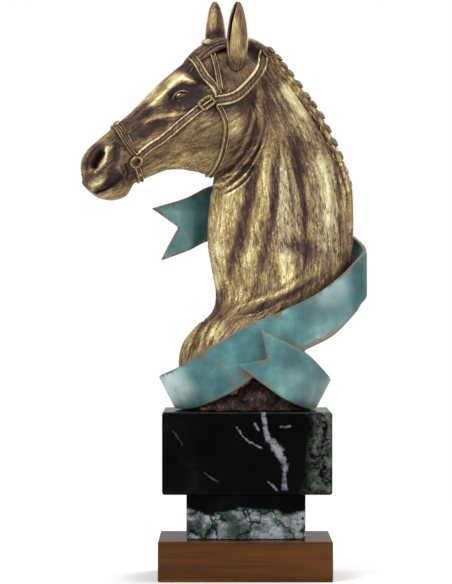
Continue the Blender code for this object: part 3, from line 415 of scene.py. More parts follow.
def closeness_to_path(points, path, width):
    """1 on the path, 0 from width away, and fading towards the ends of a long stroke."""
    lengths = np.linalg.norm(np.diff(path, axis=0), axis=1)
    total = lengths.sum()
    nearest, place = np.full(len(points), 1e9), np.zeros(len(points))
    run = 0.0
    for start, end, length in zip(path[:-1], path[1:], lengths):
        reach = end - start
        share = np.clip((points - start) @ reach / max(reach @ reach, 1e-9), 0, 1)
        distance = np.linalg.norm(points - start - share[:, None] * reach, axis=1)
        closer = distance < nearest
        nearest[closer] = distance[closer]
        place[closer] = (run + share[closer] * length) / total
        run += length
    close = np.clip(1 - nearest / width, 0, 1)
    if total > LONG_STROKE:
        close *= smoothstep(-OVERRUN, TAPER, place) * smoothstep(1 + OVERRUN, 1 - TAPER, place)
    return close


def carve(points, normals, path, width, height, sharpness):
    """Raises (or cuts) the surface along a path, fading out at its sides."""
    box_low, box_high = path.min(0) - width, path.max(0) + width
    near = np.where(((points > box_low) & (points < box_high)).all(1))[0]
    if not len(near):
        return
    share = closeness_to_path(points[near], path, width)
    soft = share * share * (3 - 2 * share)
    shape = (1 - sharpness) * soft + sharpness * share ** 2
    points[near] += normals[near] * (height * shape)[:, None]


def sculpted(mesh, reliefs):
    """The mesh with each relief carved on both sides."""
    skin = Skin(mesh)
    points, normals = points_of(mesh), normals_of(mesh)
    for _, path, width, height, sharpness in reliefs:
        knots = spline(path, max(2, 5 * (len(path) - 1)))
        line = np.array([skin.seen(x, z)[0] for x, z in knots])
        for side in (1, -1):
            carve(points, normals, line * (1, side, 1), width, height, sharpness)
    set_points(mesh, points)
    return mesh


# %% [markdown]
# ## Bones, folds and muscles
#
# Each line below is one stroke of the sculptor's tool, as the side view shows it: where it runs, half its
# width, how far it stands out (or cuts in, where negative) and how sharp it is. On a thoroughbred's face the
# skin is thin, so the facial crest, the vein under it and the rings round the nostril all show.

# %% Lines that both the carving and the paint follow
EYE_WRINKLE = [(-17.6, 75.2), (-16.3, 73.6), (-17.4, 72.6)]
SECOND_EYE_WRINKLE = [(-16.2, 75.0), (-14.9, 73.7), (-15.8, 72.6)]
WIND_PIPE = [(-1.6, 56.9), (-4.1, 50.7), (-6.3, 43.2), (-6.6, 33.8)]
THROAT_GROOVE = [(4.1, 63.7), (1.3, 53.8), (-0.3, 46.3), (-2.2, 39.4), (-4.1, 34.4), (-6.3, 25.5)]
CREST_MUSCLE = [(17.9, 63.7), (20.0, 52.5), (20.3, 43.2)]
SHOULDER_EDGE = [(0.3, 25.7), (5.9, 27.5), (10.3, 29.7), (12.8, 32.2)]

# %% Strokes on the head and neck
HEAD_RELIEF = [
    ("eye socket", [(-17.4, 76.2), (-15.2, 77.2), (-12.8, 77.4)], 3.7, -0.98, 0),
    ("brow above the eye", [(-19.1, 77.7), (-17.4, 79.6), (-15, 80.6), (-12.3, 79.9)], 1.7, 0.78, 0.2),
    ("hollow above the eye", [(-12.8, 82.3), (-10.8, 80.9)], 2.7, -0.88, 0),
    ("bone behind the eye", [(-13, 77.9), (-10.3, 78.4), (-7.9, 77.9)], 1.5, 0.44, 0),
    ("facial crest", [(-25.8, 69.6), (-23.3, 70.8), (-20.4, 71.5), (-16.9, 72), (-13, 73)], 1.2, 0.44, 0.3),
    ("hollow under the nose bone", [(-18.4, 75.5), (-21.8, 73.5), (-25.3, 70.6), (-28.2, 67.6)],
     2.2, -0.64, 0),
    ("hollow under the facial crest", [(-26, 66.1), (-22.8, 68.4), (-18.4, 69.8)], 2.5, -0.54, 0),
    ("cheek", [(-9.8, 69.1), (-7.6, 66.1), (-7.4, 63.2)], 7.8, 0.74, 0),
    ("edge under the nose bone", [(-18.9, 77.9), (-23.3, 74.2), (-27.2, 71)], 1.2, 0.34, 0.2),
    ("groove of the jaw", [(-23.3, 61.2), (-18.9, 62.2), (-15, 61.7)], 1.7, -0.34, 0.1),
    ("rim of the jaw", [(-23.3, 58.5), (-19.6, 59.8), (-14.7, 59.3), (-10.3, 58.1)], 1.2, 0.34, 0.1),
    ("chin groove", [(-27.2, 57.3), (-28, 55.6)], 1.5, -0.3, 0),
    ("chin", [(-32.6, 53.2), (-30.9, 53.9)], 2.2, 0.39, 0),
    ("upper lip", [(-38, 55.4), (-36.3, 55.4)], 2.0, 0.37, 0),
    ("muzzle side", [(-34.1, 58.3), (-32.4, 59.8)], 2.0, 0.39, 0),
    ("hollow behind the nostril", [(-33.0, 58.0), (-31.8, 61.2), (-31.4, 64.7)], 1.5, -0.6, 0.1),
    ("nostril rim behind", [(-34.0, 64.0), (-33.9, 62.4), (-34.5, 60.1), (-36.6, 58.0)], 0.9, 0.5, 0.3),
    ("nostril rim before", [(-35.3, 63.9), (-37, 62.5), (-38, 60.3), (-37.8, 58.5)], 1.0, 0.39, 0.3),
    ("nostril", [(-35.3, 62.6), (-36.2, 61.2), (-36.9, 59.9)], 1.3, -2.0, 0.1),
    ("mouth", [(-36.6, 52.8), (-35.6, 53.3), (-34.1, 53.9), (-32.1, 55.2), (-30.2, 56.7)], 0.6, -1.0, 0.5),
    ("lip under the mouth", [(-35.0, 52.0), (-32.6, 53.2), (-30.4, 55.0)], 1.0, 0.3, 0.2),
    ("corner of the mouth", [(-29.2, 59.8), (-28.5, 58.3), (-28.7, 56.8)], 0.9, -0.39, 0.5),
    ("fold before the corner", [(-30.9, 59.3), (-30.2, 57.6)], 0.7, 0.25, 0.3),
    ("face vein", [(-25.8, 69.3), (-24.3, 70.6), (-21.4, 71.3), (-17.9, 71), (-15.5, 72)], 0.6, 0.25, 0.5),
    ("second face vein", [(-23.3, 70.8), (-20.9, 69.3), (-17.9, 68.4)], 0.6, 0.18, 0.5),
    ("fold under the eye", [(-17.7, 75.2), (-15.2, 74.5), (-12.8, 75.7)], 0.6, -0.29, 0.6),
    ("second fold under the eye", [(-17.9, 74), (-15.5, 73), (-13.3, 73.7)], 0.6, -0.22, 0.6),
    ("fold over the eye", [(-17.9, 78.4), (-16, 79.4), (-13.5, 78.9)], 0.7, -0.34, 0.6),
    ("wrinkle before the eye", EYE_WRINKLE, 0.5, 0.25, 0.5),
    ("wrinkle behind it", SECOND_EYE_WRINKLE, 0.5, 0.18, 0.5),
    ("back of the jaw", [(2.7, 73), (1.9, 67.6), (-0.5, 62.5), (-4, 58.8), (-6.9, 56.6)], 1.2, -0.98, 0.6),
    ("base of the ear", [(-4, 82.8), (-2, 81.8), (0, 83.3)], 2.0, 0.49, 0),
    ("gland behind the jaw", [(4.1, 71), (3.9, 66.1)], 1.7, 0.37, 0),
]
NECK_RELIEF = [
    ("throat fold one", [(-6.6, 54.6), (-4.2, 55.9), (-1.3, 58.8), (1.7, 62.5), (3.4, 66.1), (4.1, 69.8)],
     0.7, 0.45, 0.5),
    ("groove under fold one",
     [(-6.4, 53.9), (-3.7, 55.1), (-0.6, 58.0), (2.2, 61.8), (4.0, 65.9), (5.0, 71.0)], 0.6, -0.5, 0.6),
    ("throat fold two", [(-6.2, 53.2), (-3.2, 54.4), (0, 57.3), (2.7, 61.2), (4.6, 65.7), (5.6, 71.5)],
     0.6, 0.4, 0.5),
    ("groove under fold two", [(-5.9, 52.5), (-3.1, 53.6), (0.1, 56.3), (2.4, 59.7)], 0.6, -0.5, 0.6),
    ("throat fold three", [(-5.7, 51.9), (-3.0, 52.9), (0.2, 55.4), (2.2, 58.3)], 0.5, 0.3, 0.5),
    ("wind pipe", WIND_PIPE, 2.6, 0.5, 0),
    ("groove of the throat", THROAT_GROOVE, 2.4, -0.5, 0),
    ("line in the throat groove", [(4.4, 64.5), (2.2, 55.0), (1.0, 47.3), (-1.0, 40.4), (-3.6, 33.4)],
     0.6, -0.3, 0.5),
    ("first muscle", [(5.6, 66.1), (4.4, 56.9), (4.1, 49.4), (2.2, 43.2), (0.3, 36.3), (-2.2, 30.7)],
     2.0, 0.45, 0),
    ("second groove", [(8.3, 66.0), (7.5, 56.9), (6.6, 47.9), (4.7, 40.0), (1.2, 30.5)], 2.0, -0.42, 0),
    ("line in the second groove", [(8.4, 66.0), (8.0, 56.9), (7.4, 48.9), (6.0, 42.0)], 0.6, -0.25, 0.5),
    ("second muscle", [(8.5, 63.7), (9.4, 56.9), (9.7, 49.5), (9.5, 41.6), (10.9, 33.5)], 3.0, 0.55, 0),
    ("third groove", [(11.5, 67.7), (13.1, 58.2), (14.4, 49.4), (14.7, 43.2), (14.0, 36.5)], 1.8, -0.35, 0),
    ("line in the third groove", [(12.6, 64.0), (13.4, 58.2), (14.4, 50.4), (14.9, 44.2)], 0.6, -0.25, 0.5),
    ("crest muscle", CREST_MUSCLE, 2.4, 0.5, 0),
    ("fourth groove", [(20.8, 63.7), (22.8, 55.7), (23.3, 43.2), (23.6, 34.9)], 0.8, -0.25, 0.4),
    ("groove under the mane",
     [(8.5, 81.8), (13.5, 75.9), (17.4, 70.1), (20.3, 65.7), (22.6, 59.9), (24.3, 55.1), (25.3, 49.0),
      (25.6, 43.8)], 0.7, -0.45, 0.5),
    ("shoulder edge", [(-5.1, 23.3), *SHOULDER_EDGE, (14.1, 36.7)], 1.4, 0.4, 0.3),
    ("hollow under the shoulder edge", [(-1.7, 22.5), (3.2, 24.7), (9.0, 26.9), (13.5, 29.4), (17.9, 32.8)],
     1.4, -0.45, 0.1),
    ("second shoulder fold", [(-4.7, 21.6), (-1.6, 22.8), (2.8, 23.5), (11.0, 27.5)], 0.6, 0.35, 0.5),
    ("breast fold one", [(-9.8, 22.5), (-12.0, 18.4), (-13.5, 14.7), (-14.2, 11.0)], 0.9, -0.4, 0.4),
    ("breast fold two", [(-7.9, 22.0), (-9.6, 18.4), (-10.6, 14.7)], 0.9, -0.4, 0.4),
    ("breast fold three", [(-6.0, 21.6), (-7.6, 18.6), (-8.6, 15.9)], 0.7, -0.3, 0.5),
]
print(len(HEAD_RELIEF), "strokes on the head and", len(NECK_RELIEF), "on the neck")

# %% [markdown]
# ## Bars and straps
#
# Lids, rings and veins of leather are bars swept along a path. A strap has a section of its own: two raised
# rims with a sunk middle, the look of a rolled edge. Frames along the path are smoothed, or the strap would
# twitch wherever the cheek under it has a fold.

# %% Sweep a bar or a strap
def directions(path):
    """The direction of a path at each of its points, of length 1."""
    steps = np.gradient(path, axis=0)
    return steps / np.linalg.norm(steps, axis=1)[:, None]


def frames_along(path, normals):
    """Sideways directions and cleaned normals along a path."""
    tangents = directions(path)
    for _ in range(10):
        padded = np.vstack([normals[:1], normals, normals[-1:]])
        normals = (padded[:-2] + 2 * padded[1:-1] + padded[2:]) / 4
    normals = normals - tangents * (normals * tangents).sum(1)[:, None]
    normals /= np.linalg.norm(normals, axis=1)[:, None]
    return np.cross(tangents, normals), normals


# From edge to edge: across in half widths, height in thicknesses.
STRAP_SECTION = [(-1.0, -0.8), (-1.02, 0.1), (-1.0, 0.7), (-0.9, 0.98), (-0.74, 1.0), (-0.6, 0.8),
                 (-0.5, 0.6), (-0.3, 0.56), (0.0, 0.62), (0.3, 0.56), (0.5, 0.6), (0.6, 0.8), (0.74, 1.0),
                 (0.9, 0.98), (1.0, 0.7), (1.02, 0.1), (1.0, -0.8)]
STRAP_GUIDES = 24  # a strap's path is redrawn through about this many of its points
STRAP_ROUNDS = 40  # and then averaged this often, which irons out the folds under it


def strap(path, normals, width, thickness):
    """A strap with raised rims, laid along a path with its back to the surface."""
    path = spline(path[:: max(1, len(path) // STRAP_GUIDES)], len(path))
    for _ in range(STRAP_ROUNDS):
        path[1:-1] = (path[:-2] + 2 * path[1:-1] + path[2:]) / 4
    sideways, up = frames_along(path, normals)
    rings = [[p + s * (a * width / 2) + n * (h * thickness) for a, h in STRAP_SECTION]
             for p, s, n in zip(path, sideways, up)]
    return loft(rings)


ODD_DIRECTION = (0.13, 0.21, 0.97)  # no path starts along it, so it can turn a bar's first ring


def tube(path, radii, around=14):
    """A round bar along a path, with its radius at each point."""
    path = np.array(path, float)
    tangents = directions(path)
    normal = np.cross(tangents[0], ODD_DIRECTION)
    rings = []
    for point, tangent, radius in zip(path, tangents, np.broadcast_to(radii, len(path))):
        normal = normal - tangent * (normal @ tangent)
        normal /= np.linalg.norm(normal)
        side = np.cross(tangent, normal)
        rings.append([point + radius * (math.cos(a) * normal + math.sin(a) * side)
                      for a in np.linspace(0, 2 * math.pi, around, endpoint=False)])
    return loft(rings)


def hoop(centre, normal, size, radius, corner=1.0, along=(1, 0, 0), count=48):
    """A closed bar around a centre: round, or nearly square with a small corner exponent."""
    normal = np.array(normal) / np.linalg.norm(normal)
    first = np.array(along, float) - normal * (np.array(along) @ normal)
    first /= np.linalg.norm(first)
    second = np.cross(normal, first)
    line = []
    for a in np.linspace(0, 2 * math.pi, count, endpoint=False):
        u = math.copysign(abs(math.cos(a)) ** corner, math.cos(a)) * size[0]
        v = math.copysign(abs(math.sin(a)) ** corner, math.sin(a)) * size[1]
        line.append(np.array(centre) + first * u + second * v)
    return tube(line + line[:2], radius)


# %% [markdown]
# ## The hair's run
#
# The sculptor's comb left fine streaks that follow the hair: from the poll down the face, and in long lines
# down the neck. So each point of the skin gets a place measured across and along the hair, which stretches
# the streaks of the carving and of the paint the right way.

# %% Places along the hair
NECK_ROWS, NECK_COLUMNS = 90, 30
NECK_HAIR_WIDTH, FACE_HAIR_SHIFT = 26.0, 30.0  # the neck's width in hair, and where the face's hair begins


def neck_lines():
    """Points over the neck's sections in the side view, with the place across and along the hair of each."""
    rows, places = [], []
    run, last = 0.0, None
    for x0, z0, x1, z1, *_ in spline(NECK_SECTIONS, NECK_ROWS):
        low, high = np.array((x0, z0)), np.array((x1, z1))
        middle = (low + high) / 2
        run += 0.0 if last is None else np.linalg.norm(middle - last)
        last = middle
        for share in np.linspace(0, 1, NECK_COLUMNS):
            rows.append(low + (high - low) * share)
            places.append((share * NECK_HAIR_WIDTH, run))
    return np.array(rows), np.array(places)


def tree_of(places):
    """A tree that finds the nearest of these places."""
    tree = KDTree(len(places))
    for index, place in enumerate(places):
        tree.insert(place, index)
    tree.balance()
    return tree


neck_rows, neck_places = neck_lines()
neck_tree = tree_of([(x, 0, z) for x, z in neck_rows])


def hair_places(points):
    """For each point its place across the hair, its depth, and its place along the hair."""
    found = np.zeros((len(points), 2))
    for i, (x, _, z) in enumerate(points):
        near = neck_tree.find_n((x, 0, z), 4)
        weights = np.array([1 / (distance + 0.05) for _, _, distance in near])
        found[i] = weights @ neck_places[[index for _, index, _ in near]] / weights.sum()
    from_poll = points[:, [0, 2]] - HEAD_START
    along, up = from_poll @ HEAD_ALONG, from_poll @ HEAD_UP
    share = smoothstep(-4, 5, along) * smoothstep(-20, -13, up)
    across = found[:, 0] * (1 - share) + (up + FACE_HAIR_SHIFT) * share
    down = found[:, 1] * (1 - share) + along * share
    return np.stack([across, points[:, 1], down], axis=1)


# %% Ridged noise for strands of hair
def strands(places, wide, long, seed):
    """Ridges from 0 to 1 that run along the hair, about wide apart and long in length."""
    scaled = places / (wide, wide * 1.6, long) + (seed, seed * 0.7, seed * 1.3)
    return np.array([1 - abs(noise.noise(Vector(place))) * 2 for place in scaled])


# %% [markdown]
# ## Loose mane
#
# Below the last plait the mane hangs loose along the crest. It is one smooth swelling of the neck with long
# grooves, so it is melted into the body before the carving.

# %% Hair along the lower crest
LOOSE_MANE = [(20.6, 64.6), (22.9, 59.6), (24.1, 54.0), (24.6, 48.0), (24.7, 42.0), (24.7, 34.0)]
LOOSE_MANE_RADIUS = 2.1
POLL_HAIR = [(-4.6, 88.2), (-1.5, 89.4), (1.5, 89.1), (4.4, 87.6), (6.4, 85.6)]
POLL_HAIR_RADIUS = 1.75


def swelling(places, radius):
    """A bar in the plane of symmetry that thins out at both ends."""
    path = [(x, 0, z) for x, z in spline(places, 60)]
    return tube(path, radius * np.sin(np.linspace(0.5, math.pi - 0.5, 60)) ** 0.4, 24)


# %% Melt, carve and comb the body
VOXEL = 0.95 * MILLIMETRE
hair = [swelling(LOOSE_MANE, LOOSE_MANE_RADIUS), swelling(POLL_HAIR, POLL_HAIR_RADIUS)]
body = fused([head_skin(), neck_skin()] + hair, VOXEL, relax=6)
sculpted(body, HEAD_RELIEF + NECK_RELIEF)
skin = Skin(body)
places = hair_places(points_of(body))
print("the body has", len(body.vertices), "points")

# %% [markdown]
# Combing comes last, because it follows the forms. Broad strands stand a third of a millimetre proud of the
# neck, fine ones a little less, and the face stays nearly smooth.

# %% Comb the coat
points, normals = points_of(body), normals_of(body)
from_poll = points[:, [0, 2]] - HEAD_START
on_neck = 1 - smoothstep(-6, 6, from_poll @ HEAD_ALONG)
below_jaw = smoothstep(-10, -18, from_poll @ HEAD_UP)
on_neck = np.maximum(on_neck, below_jaw)
BROAD_STRAND, FINE_STRAND = (3.4, 22, 3.0), (0.9, 7, 11.0)  # width, length and seed
BROAD_LIFT, FINE_LIFT, FACE_LIFT = 0.24, 0.16, 0.09
STRAND_MIDDLE = 0.55
broad = strands(places, *BROAD_STRAND) - STRAND_MIDDLE
fine = strands(places, *FINE_STRAND) - STRAND_MIDDLE
lift = on_neck * (broad * BROAD_LIFT + fine * FINE_LIFT) + (1 - on_neck) * fine * FACE_LIFT
set_points(body, points + normals * lift[:, None])
print("strands stand up to", round(float(lift.max() * UNIT * 1000), 2), "mm proud")

# %% [markdown]
# ## Keep a list of the pieces
#
# Each piece is kept as a mesh in the side view's units until all are made, because the paint of one depends
# on what stands over it. The list says which finish each takes.

# %% A list for the pieces
made_pieces = {}


def keep(name, parts, finish, share=None):
    """Turns the parts with the head and keeps them as one mesh under this name."""
    parts = [(turned(points, share), faces) for points, faces in parts]
    mesh = shell_mesh(name, parts)
    made_pieces[name] = (mesh, finish)
    print(name, len(mesh.vertices), "points")


straight_body = points_of(body)
set_points(body, turned(straight_body))
made_pieces["horse_body"] = (body, "gold")

# %% [markdown]
# ## Ears
#
# A horse's ear is a leaf rolled round its hollow. The real one would be modelled as a rolled sheet of wax, so
# the loft here follows that: every ring is an open C, wall and hollow together, which narrows to the tip.

# %% Two ears
EAR_BASE, EAR_TIP = (-4.4, 4.6, 82.6), (-4.6, 6.0, 99.9)
EAR_LEAN = 1.0  # how far the near ear stands back and the far one forward
# On its way up: share of its height, half width, share of a full turn that its rim closes.
EAR_SECTIONS = [(0.0, 1.1, 0.99), (0.08, 1.7, 0.985), (0.2, 2.2, 0.97), (0.38, 2.55, 0.94),
                (0.55, 2.45, 0.91), (0.75, 2.0, 0.86), (0.9, 1.35, 0.8), (0.97, 0.8, 0.76), (1.0, 0.35, 0.75)]
EAR_WALL = 0.6
EAR_OUTWARD = 0.35  # how far the near ear's hollow faces outwards, where 1 is as far as forwards
EAR_DEPTH = 0.85  # an ear's depth as a share of its width
EAR_RIM = 0.06  # the angle that rounds the edge of its wall


def ear(side):
    """One ear: a leaf rolled around its hollow, which opens forwards and a little outwards."""
    lean = EAR_LEAN * (1 if side == NEAR else -1)
    base = np.array(EAR_BASE) * (1, side, 1) + (lean, 0, 0)
    tip = np.array(EAR_TIP) * (1, side, 1) + (lean, 0, 0)
    opening = math.atan2(side * (EAR_OUTWARD if side == NEAR else 0.0), -1.0)
    rings = []
    for share, half, closed in spline(EAR_SECTIONS, 70):
        centre = base + (tip - base) * share
        wall = min(EAR_WALL, half * 0.5)
        sweep = math.pi * closed
        outer = [(half, a) for a in np.linspace(-sweep, sweep, 40)]
        rim = [(half - wall * 0.5, sweep + EAR_RIM)]
        inner = [(half - wall, a) for a in np.linspace(sweep, -sweep, 40)]
        rings.append([centre + np.array([r * math.cos(opening + math.pi + a),
                                         EAR_DEPTH * r * math.sin(opening + math.pi + a), 0])
                      for r, a in outer + rim + inner + [(rim[0][0], -sweep - EAR_RIM)]])
    return loft(rings)


keep("near_ear", [ear(NEAR)], "ear", 1.0)
keep("far_ear", [ear(-NEAR)], "ear", 1.0)

# %% [markdown]
# ## Eyes
#
# The ball of the eye sits under a heavy upper lid. Ball and lids are pieces of their own here, since a remesh
# would round the lids' thin edges away.

# %% Eyeballs and lids
EYE = (-15.5, 77.0)
EYE_AXES = (2.1, 1.5, 1.25)
EYE_DEPTH = 0.95
EYE_TILT = math.radians(12)
UPPER_LID = [(-2.5, -0.75), (-1.7, 0.45), (-0.4, 1.0), (1.0, 0.75), (2.5, -0.35)]
LOWER_LID = [(-2.3, -0.75), (-1.2, -1.05), (0.2, -1.1), (1.3, -0.85), (2.3, -0.35)]
# Each lid's line, its radius and how far it stands out over the eyeball's middle.
LIDS = ((UPPER_LID, 0.27, 1.46), (LOWER_LID, 0.18, 1.22))
BULGE_AXES = (3.0, 2.8)  # half axes, across and up, of the bulge that the lids lie on


def on_eyeball(points, centre, reach):
    """Places on the bulge over the eyeball, from places across and up in the eye's own tilt."""
    line = []
    for u, v in spline(points, 40):
        x = u * math.cos(EYE_TILT) - v * math.sin(EYE_TILT)
        z = u * math.sin(EYE_TILT) + v * math.cos(EYE_TILT)
        bulge = math.sqrt(max(0.0, 1 - (u / BULGE_AXES[0]) ** 2 - (v / BULGE_AXES[1]) ** 2))
        line.append(centre + np.array([x, NEAR * reach * bulge, z]))
    return np.array(line)


eye_centre = skin.seen(*EYE)[0] + np.array([0, -NEAR * EYE_DEPTH, 0])
thinning = np.sin(np.linspace(0, math.pi, 40)) ** 0.6
for side, word in ((1, "near"), (-1, "far")):
    flip = np.array([1, side, 1])
    eyeball, eyeball_faces = ball(eye_centre, EYE_AXES, EYE_TILT, 40, 26)
    keep(word + "_eyeball", [(eyeball * flip, eyeball_faces)], "eye")
    lids = []
    for line, radius, reach in LIDS:
        path = on_eyeball(line, eye_centre, reach) * flip
        lids.append(tube(path, radius * (0.3 + 0.7 * thinning)))
    keep(word + "_eyelids", lids, "lid")

# %% [markdown]
# ## Bridle
#
# A double-rimmed noseband, cheekpieces with a buckle, a browband, a strap before the ears, the headpiece
# behind them and a throat strap. In the casting they are one with the head, so each is laid half sunk in it.

# %% Where the straps run
HEAD_CORE = ((0, 0, 75), (-37, 0, 59))
POLL_CORE = ((-4, 0, 78), (-7.5, 0, 66))
NOSEBAND_FRONT = [(-27.6, -5, 61.6), (-29.4, -5, 63.3), (-30.9, -4.8, 66.4), (-32.2, -3.4, 69.4),
                  (-32.9, 0, 71.4)]
NOSEBAND_BACK = [(-27.2, -5, 61.8), (-28.5, -5, 63.6), (-29.7, -4.8, 66.4), (-30.9, -3.4, 69.4),
                 (-31.7, 0, 71.3)]
CHEEKPIECE = [(-27.6, -5, 61.8), (-24.9, -6, 64.4), (-22.2, -6, 66.2), (-18.1, -6, 69.4), (-13.4, -6, 72.7),
              (-9.0, -6, 75.9)]
BROWBAND = [(-8.7, -7, 77.0), (-10.3, -6.5, 80.4), (-11.6, -5.6, 82.9), (-12.9, -3.5, 85.4), (-13.8, 0, 87.5)]
EAR_STRAP = [(-8.2, -7, 78.5), (-8.9, -5.8, 84.0), (-9.4, -3.6, 88.2), (-9.6, 0, 90.0)]
HEADPIECE = [(-9.4, -7, 75.3), (-4.9, -7, 76.2), (-0.5, -6, 78.6), (2.7, -5, 81.6), (4.4, -3, 84.8),
             (4.6, 0, 88)]
THROAT_STRAP = [(-8.7, -7, 74.5), (-7.1, -7, 70.6), (-6.8, -7, 66.1), (-7.2, -6, 61.7), (-8.4, -3.5, 57.6),
                (-9.2, 0, 55.5)]
CURB_STRAP = [(-27.6, -5, 59.6), (-26.9, -4.2, 57.9), (-26.0, -2.6, 56.4), (-25.6, 0, 55.6)]
BIT_RING = (-26.9, 60.8)
BIT_RING_RADIUS, RING_BAR, RING_LIFT = 1.32, 0.36, 0.55
BROW_KNOB = (-9.3, 1.2, 89.9)
STRAP_THICKNESS = 1.9 * MILLIMETRE


def mirrored(guides):
    """Guides of a strap that meets its other half in the plane of symmetry."""
    return guides[:-1] + [guides[-1]] + [(x, -y, z) for x, y, z in guides[-2::-1]]


# %% Lay the straps on the head
DIP_SHARPNESS = 60  # how close to the crest a loop stays before it dips
# Each loop's width, and how deep it dips under the hair where it crosses the crest.
LOOPS = [
    ("noseband_front", NOSEBAND_FRONT, HEAD_CORE, 0.85, 0),
    ("noseband_back", NOSEBAND_BACK, HEAD_CORE, 0.85, 0),
    ("browband", BROWBAND, HEAD_CORE, 1.8, 0),
    ("ear_strap", EAR_STRAP, HEAD_CORE, 1.3, 0),
    ("headpiece", HEADPIECE, HEAD_CORE, 2.5, 1.2),
    ("throat_strap", THROAT_STRAP, POLL_CORE, 1.2, 0),
    ("curb_strap", CURB_STRAP, HEAD_CORE, 1.3, 0),
]
for name, guides, core, width, dip in LOOPS:
    path, away = skin.around(mirrored(guides), core, 180)
    path -= away * (dip * np.sin(np.linspace(0, math.pi, len(path))) ** DIP_SHARPNESS)[:, None]
    keep(name, [strap(path, away, width, STRAP_THICKNESS)], "strap")

# %% Cheekpieces, buckles, rings and knobs
CHEEKPIECE_WIDTH = 1.9
BUCKLE_SIZE, BUCKLE_BAR, BUCKLE_CORNER = (1.8, 1.1), 0.3, 0.35
# Places among the cheekpiece's points: where the buckle sits, its tongue's ends, and the strap's course.
CHEEKPIECE_POINTS, BUCKLE_AT = 120, 103
TONGUE_ENDS, COURSE_ENDS = (BUCKLE_AT - 7, BUCKLE_AT + 7), (BUCKLE_AT - 11, BUCKLE_AT + 9)
TONGUE_LIFT, TONGUE_BOW, TONGUE_RADIUS = 0.9, 1.1, 0.18
for side, word in ((1, "near"), (-1, "far")):
    flip = np.array([1, side, 1])
    path, away = skin.around([(x, y * side, z) for x, y, z in CHEEKPIECE], HEAD_CORE, CHEEKPIECE_POINTS)
    keep(word + "_cheekpiece", [strap(path, away, CHEEKPIECE_WIDTH, STRAP_THICKNESS)], "strap")
    at, out = path[BUCKLE_AT], away[BUCKLE_AT]
    strap_course = path[COURSE_ENDS[1]] - path[COURSE_ENDS[0]]
    buckle = hoop(at + out * STRAP_THICKNESS, out, BUCKLE_SIZE, BUCKLE_BAR, BUCKLE_CORNER, strap_course)
    tongue = tube([path[TONGUE_ENDS[0]] + out * TONGUE_LIFT, at + out * TONGUE_BOW,
                   path[TONGUE_ENDS[1]] + out * TONGUE_LIFT], TONGUE_RADIUS)
    keep(word + "_buckle", [buckle, tongue], "gold")
    place, out = skin.seen(*BIT_RING)
    place, out = place * flip, out * flip
    ring = hoop(place + out * RING_LIFT, out, (BIT_RING_RADIUS, BIT_RING_RADIUS), RING_BAR)
    keep(word + "_bit_ring", [ring], "gold")
    knob = skin.around([(x, y * side, z) for x, y, z in CURB_STRAP[2:]], HEAD_CORE, 2)[0][0]
    keep(word + "_curb_knob", [ball(knob, (0.8, 0.7, 0.75))], "gold")
    keep(word + "_brow_knob", [ball(np.array(BROW_KNOB) * flip, (1.15, 0.9, 0.8))], "gold")

nose_knot, _ = skin.around([(-32.4, 0, 72), (-32.2, 0, 72)], HEAD_CORE, 2)
keep("nose_knot", [ball(nose_knot[0] + (0, 0, 0.25), (1.0, 1.3, 0.62), 0.55)], "gold")

# %% [markdown]
# ## Mane
#
# A show horse's mane is plaited and each plait is rolled into a knot, so the crest has a row of buttons with
# the hair drawn up into each from the neck. Every knot is a ball grooved like a coil of rope, with a
# tapering lock below it on either side.

# %% Knots and locks
# The crest's outline over each knot.
MANE = [(6.3, 88.3), (8.1, 86.5), (9.5, 84.6), (11.1, 82.7), (13.2, 80.0), (15.2, 77.1), (16.7, 75.1),
        (18.7, 72.4), (20.4, 69.1), (22.0, 65.8), (23.4, 62.6), (24.7, 58.8), (25.6, 55.8)]
KNOT_AXES = (1.55, 1.15, 0.85)  # along the crest, across it and up
KNOT_SINK = 0.5
KNOT_LEAN = 0.42
KNOT_GROOVE, KNOT_TURNS = 0.08, 0.8  # depth of the rope's grooves in a knot, and how close they lie
KNOT_SLANT, KNOT_HOOK = 1.2, 0.7
# A lock: how deep under the crest it lies, how far it bows down, and its run along the crest.
LOCK_DEPTH, LOCK_BOW, LOCK_THICKNESS, LOCK_LIFT = 1.5, 0.45, 0.3, 0.02
LOCK_STEPS = 16
LOCK_RUN = np.linspace(-1.25, 1.45, LOCK_STEPS)
LOCK_TAPER = 0.35 + 0.65 * np.sin(np.linspace(0.2, math.pi - 0.2, LOCK_STEPS))
POLL_ROPE = [(0.0, 89.9), (3.0, 88.9)]
ROPE_SINK, ROPE_RADIUS = 1.1, 0.95


def knot(centre, slope):
    """A rolled plait: a ball with slanting grooves, tilted against the crest's line."""
    points, faces = ball((0, 0, 0), KNOT_AXES, 0.0, 44, 30)
    slant = points[:, 0] / KNOT_AXES[0] * KNOT_SLANT + points[:, 2] / KNOT_AXES[2] * KNOT_SLANT
    groove = np.cos((slant + np.abs(points[:, 1]) * KNOT_HOOK) * 2 * math.pi * KNOT_TURNS)
    points *= (1 + KNOT_GROOVE * groove)[:, None]
    return tilted(points, slope + KNOT_LEAN) + centre, faces


def beside(place, inward, side, lift):
    """A place on the neck's side, inward from the crest and along it, standing off by lift."""
    u, w = place + inward
    found = skin.side(u, w)
    depth = abs(found[0][1]) if found else 0.9
    return np.array([u, side * (depth + lift), w])


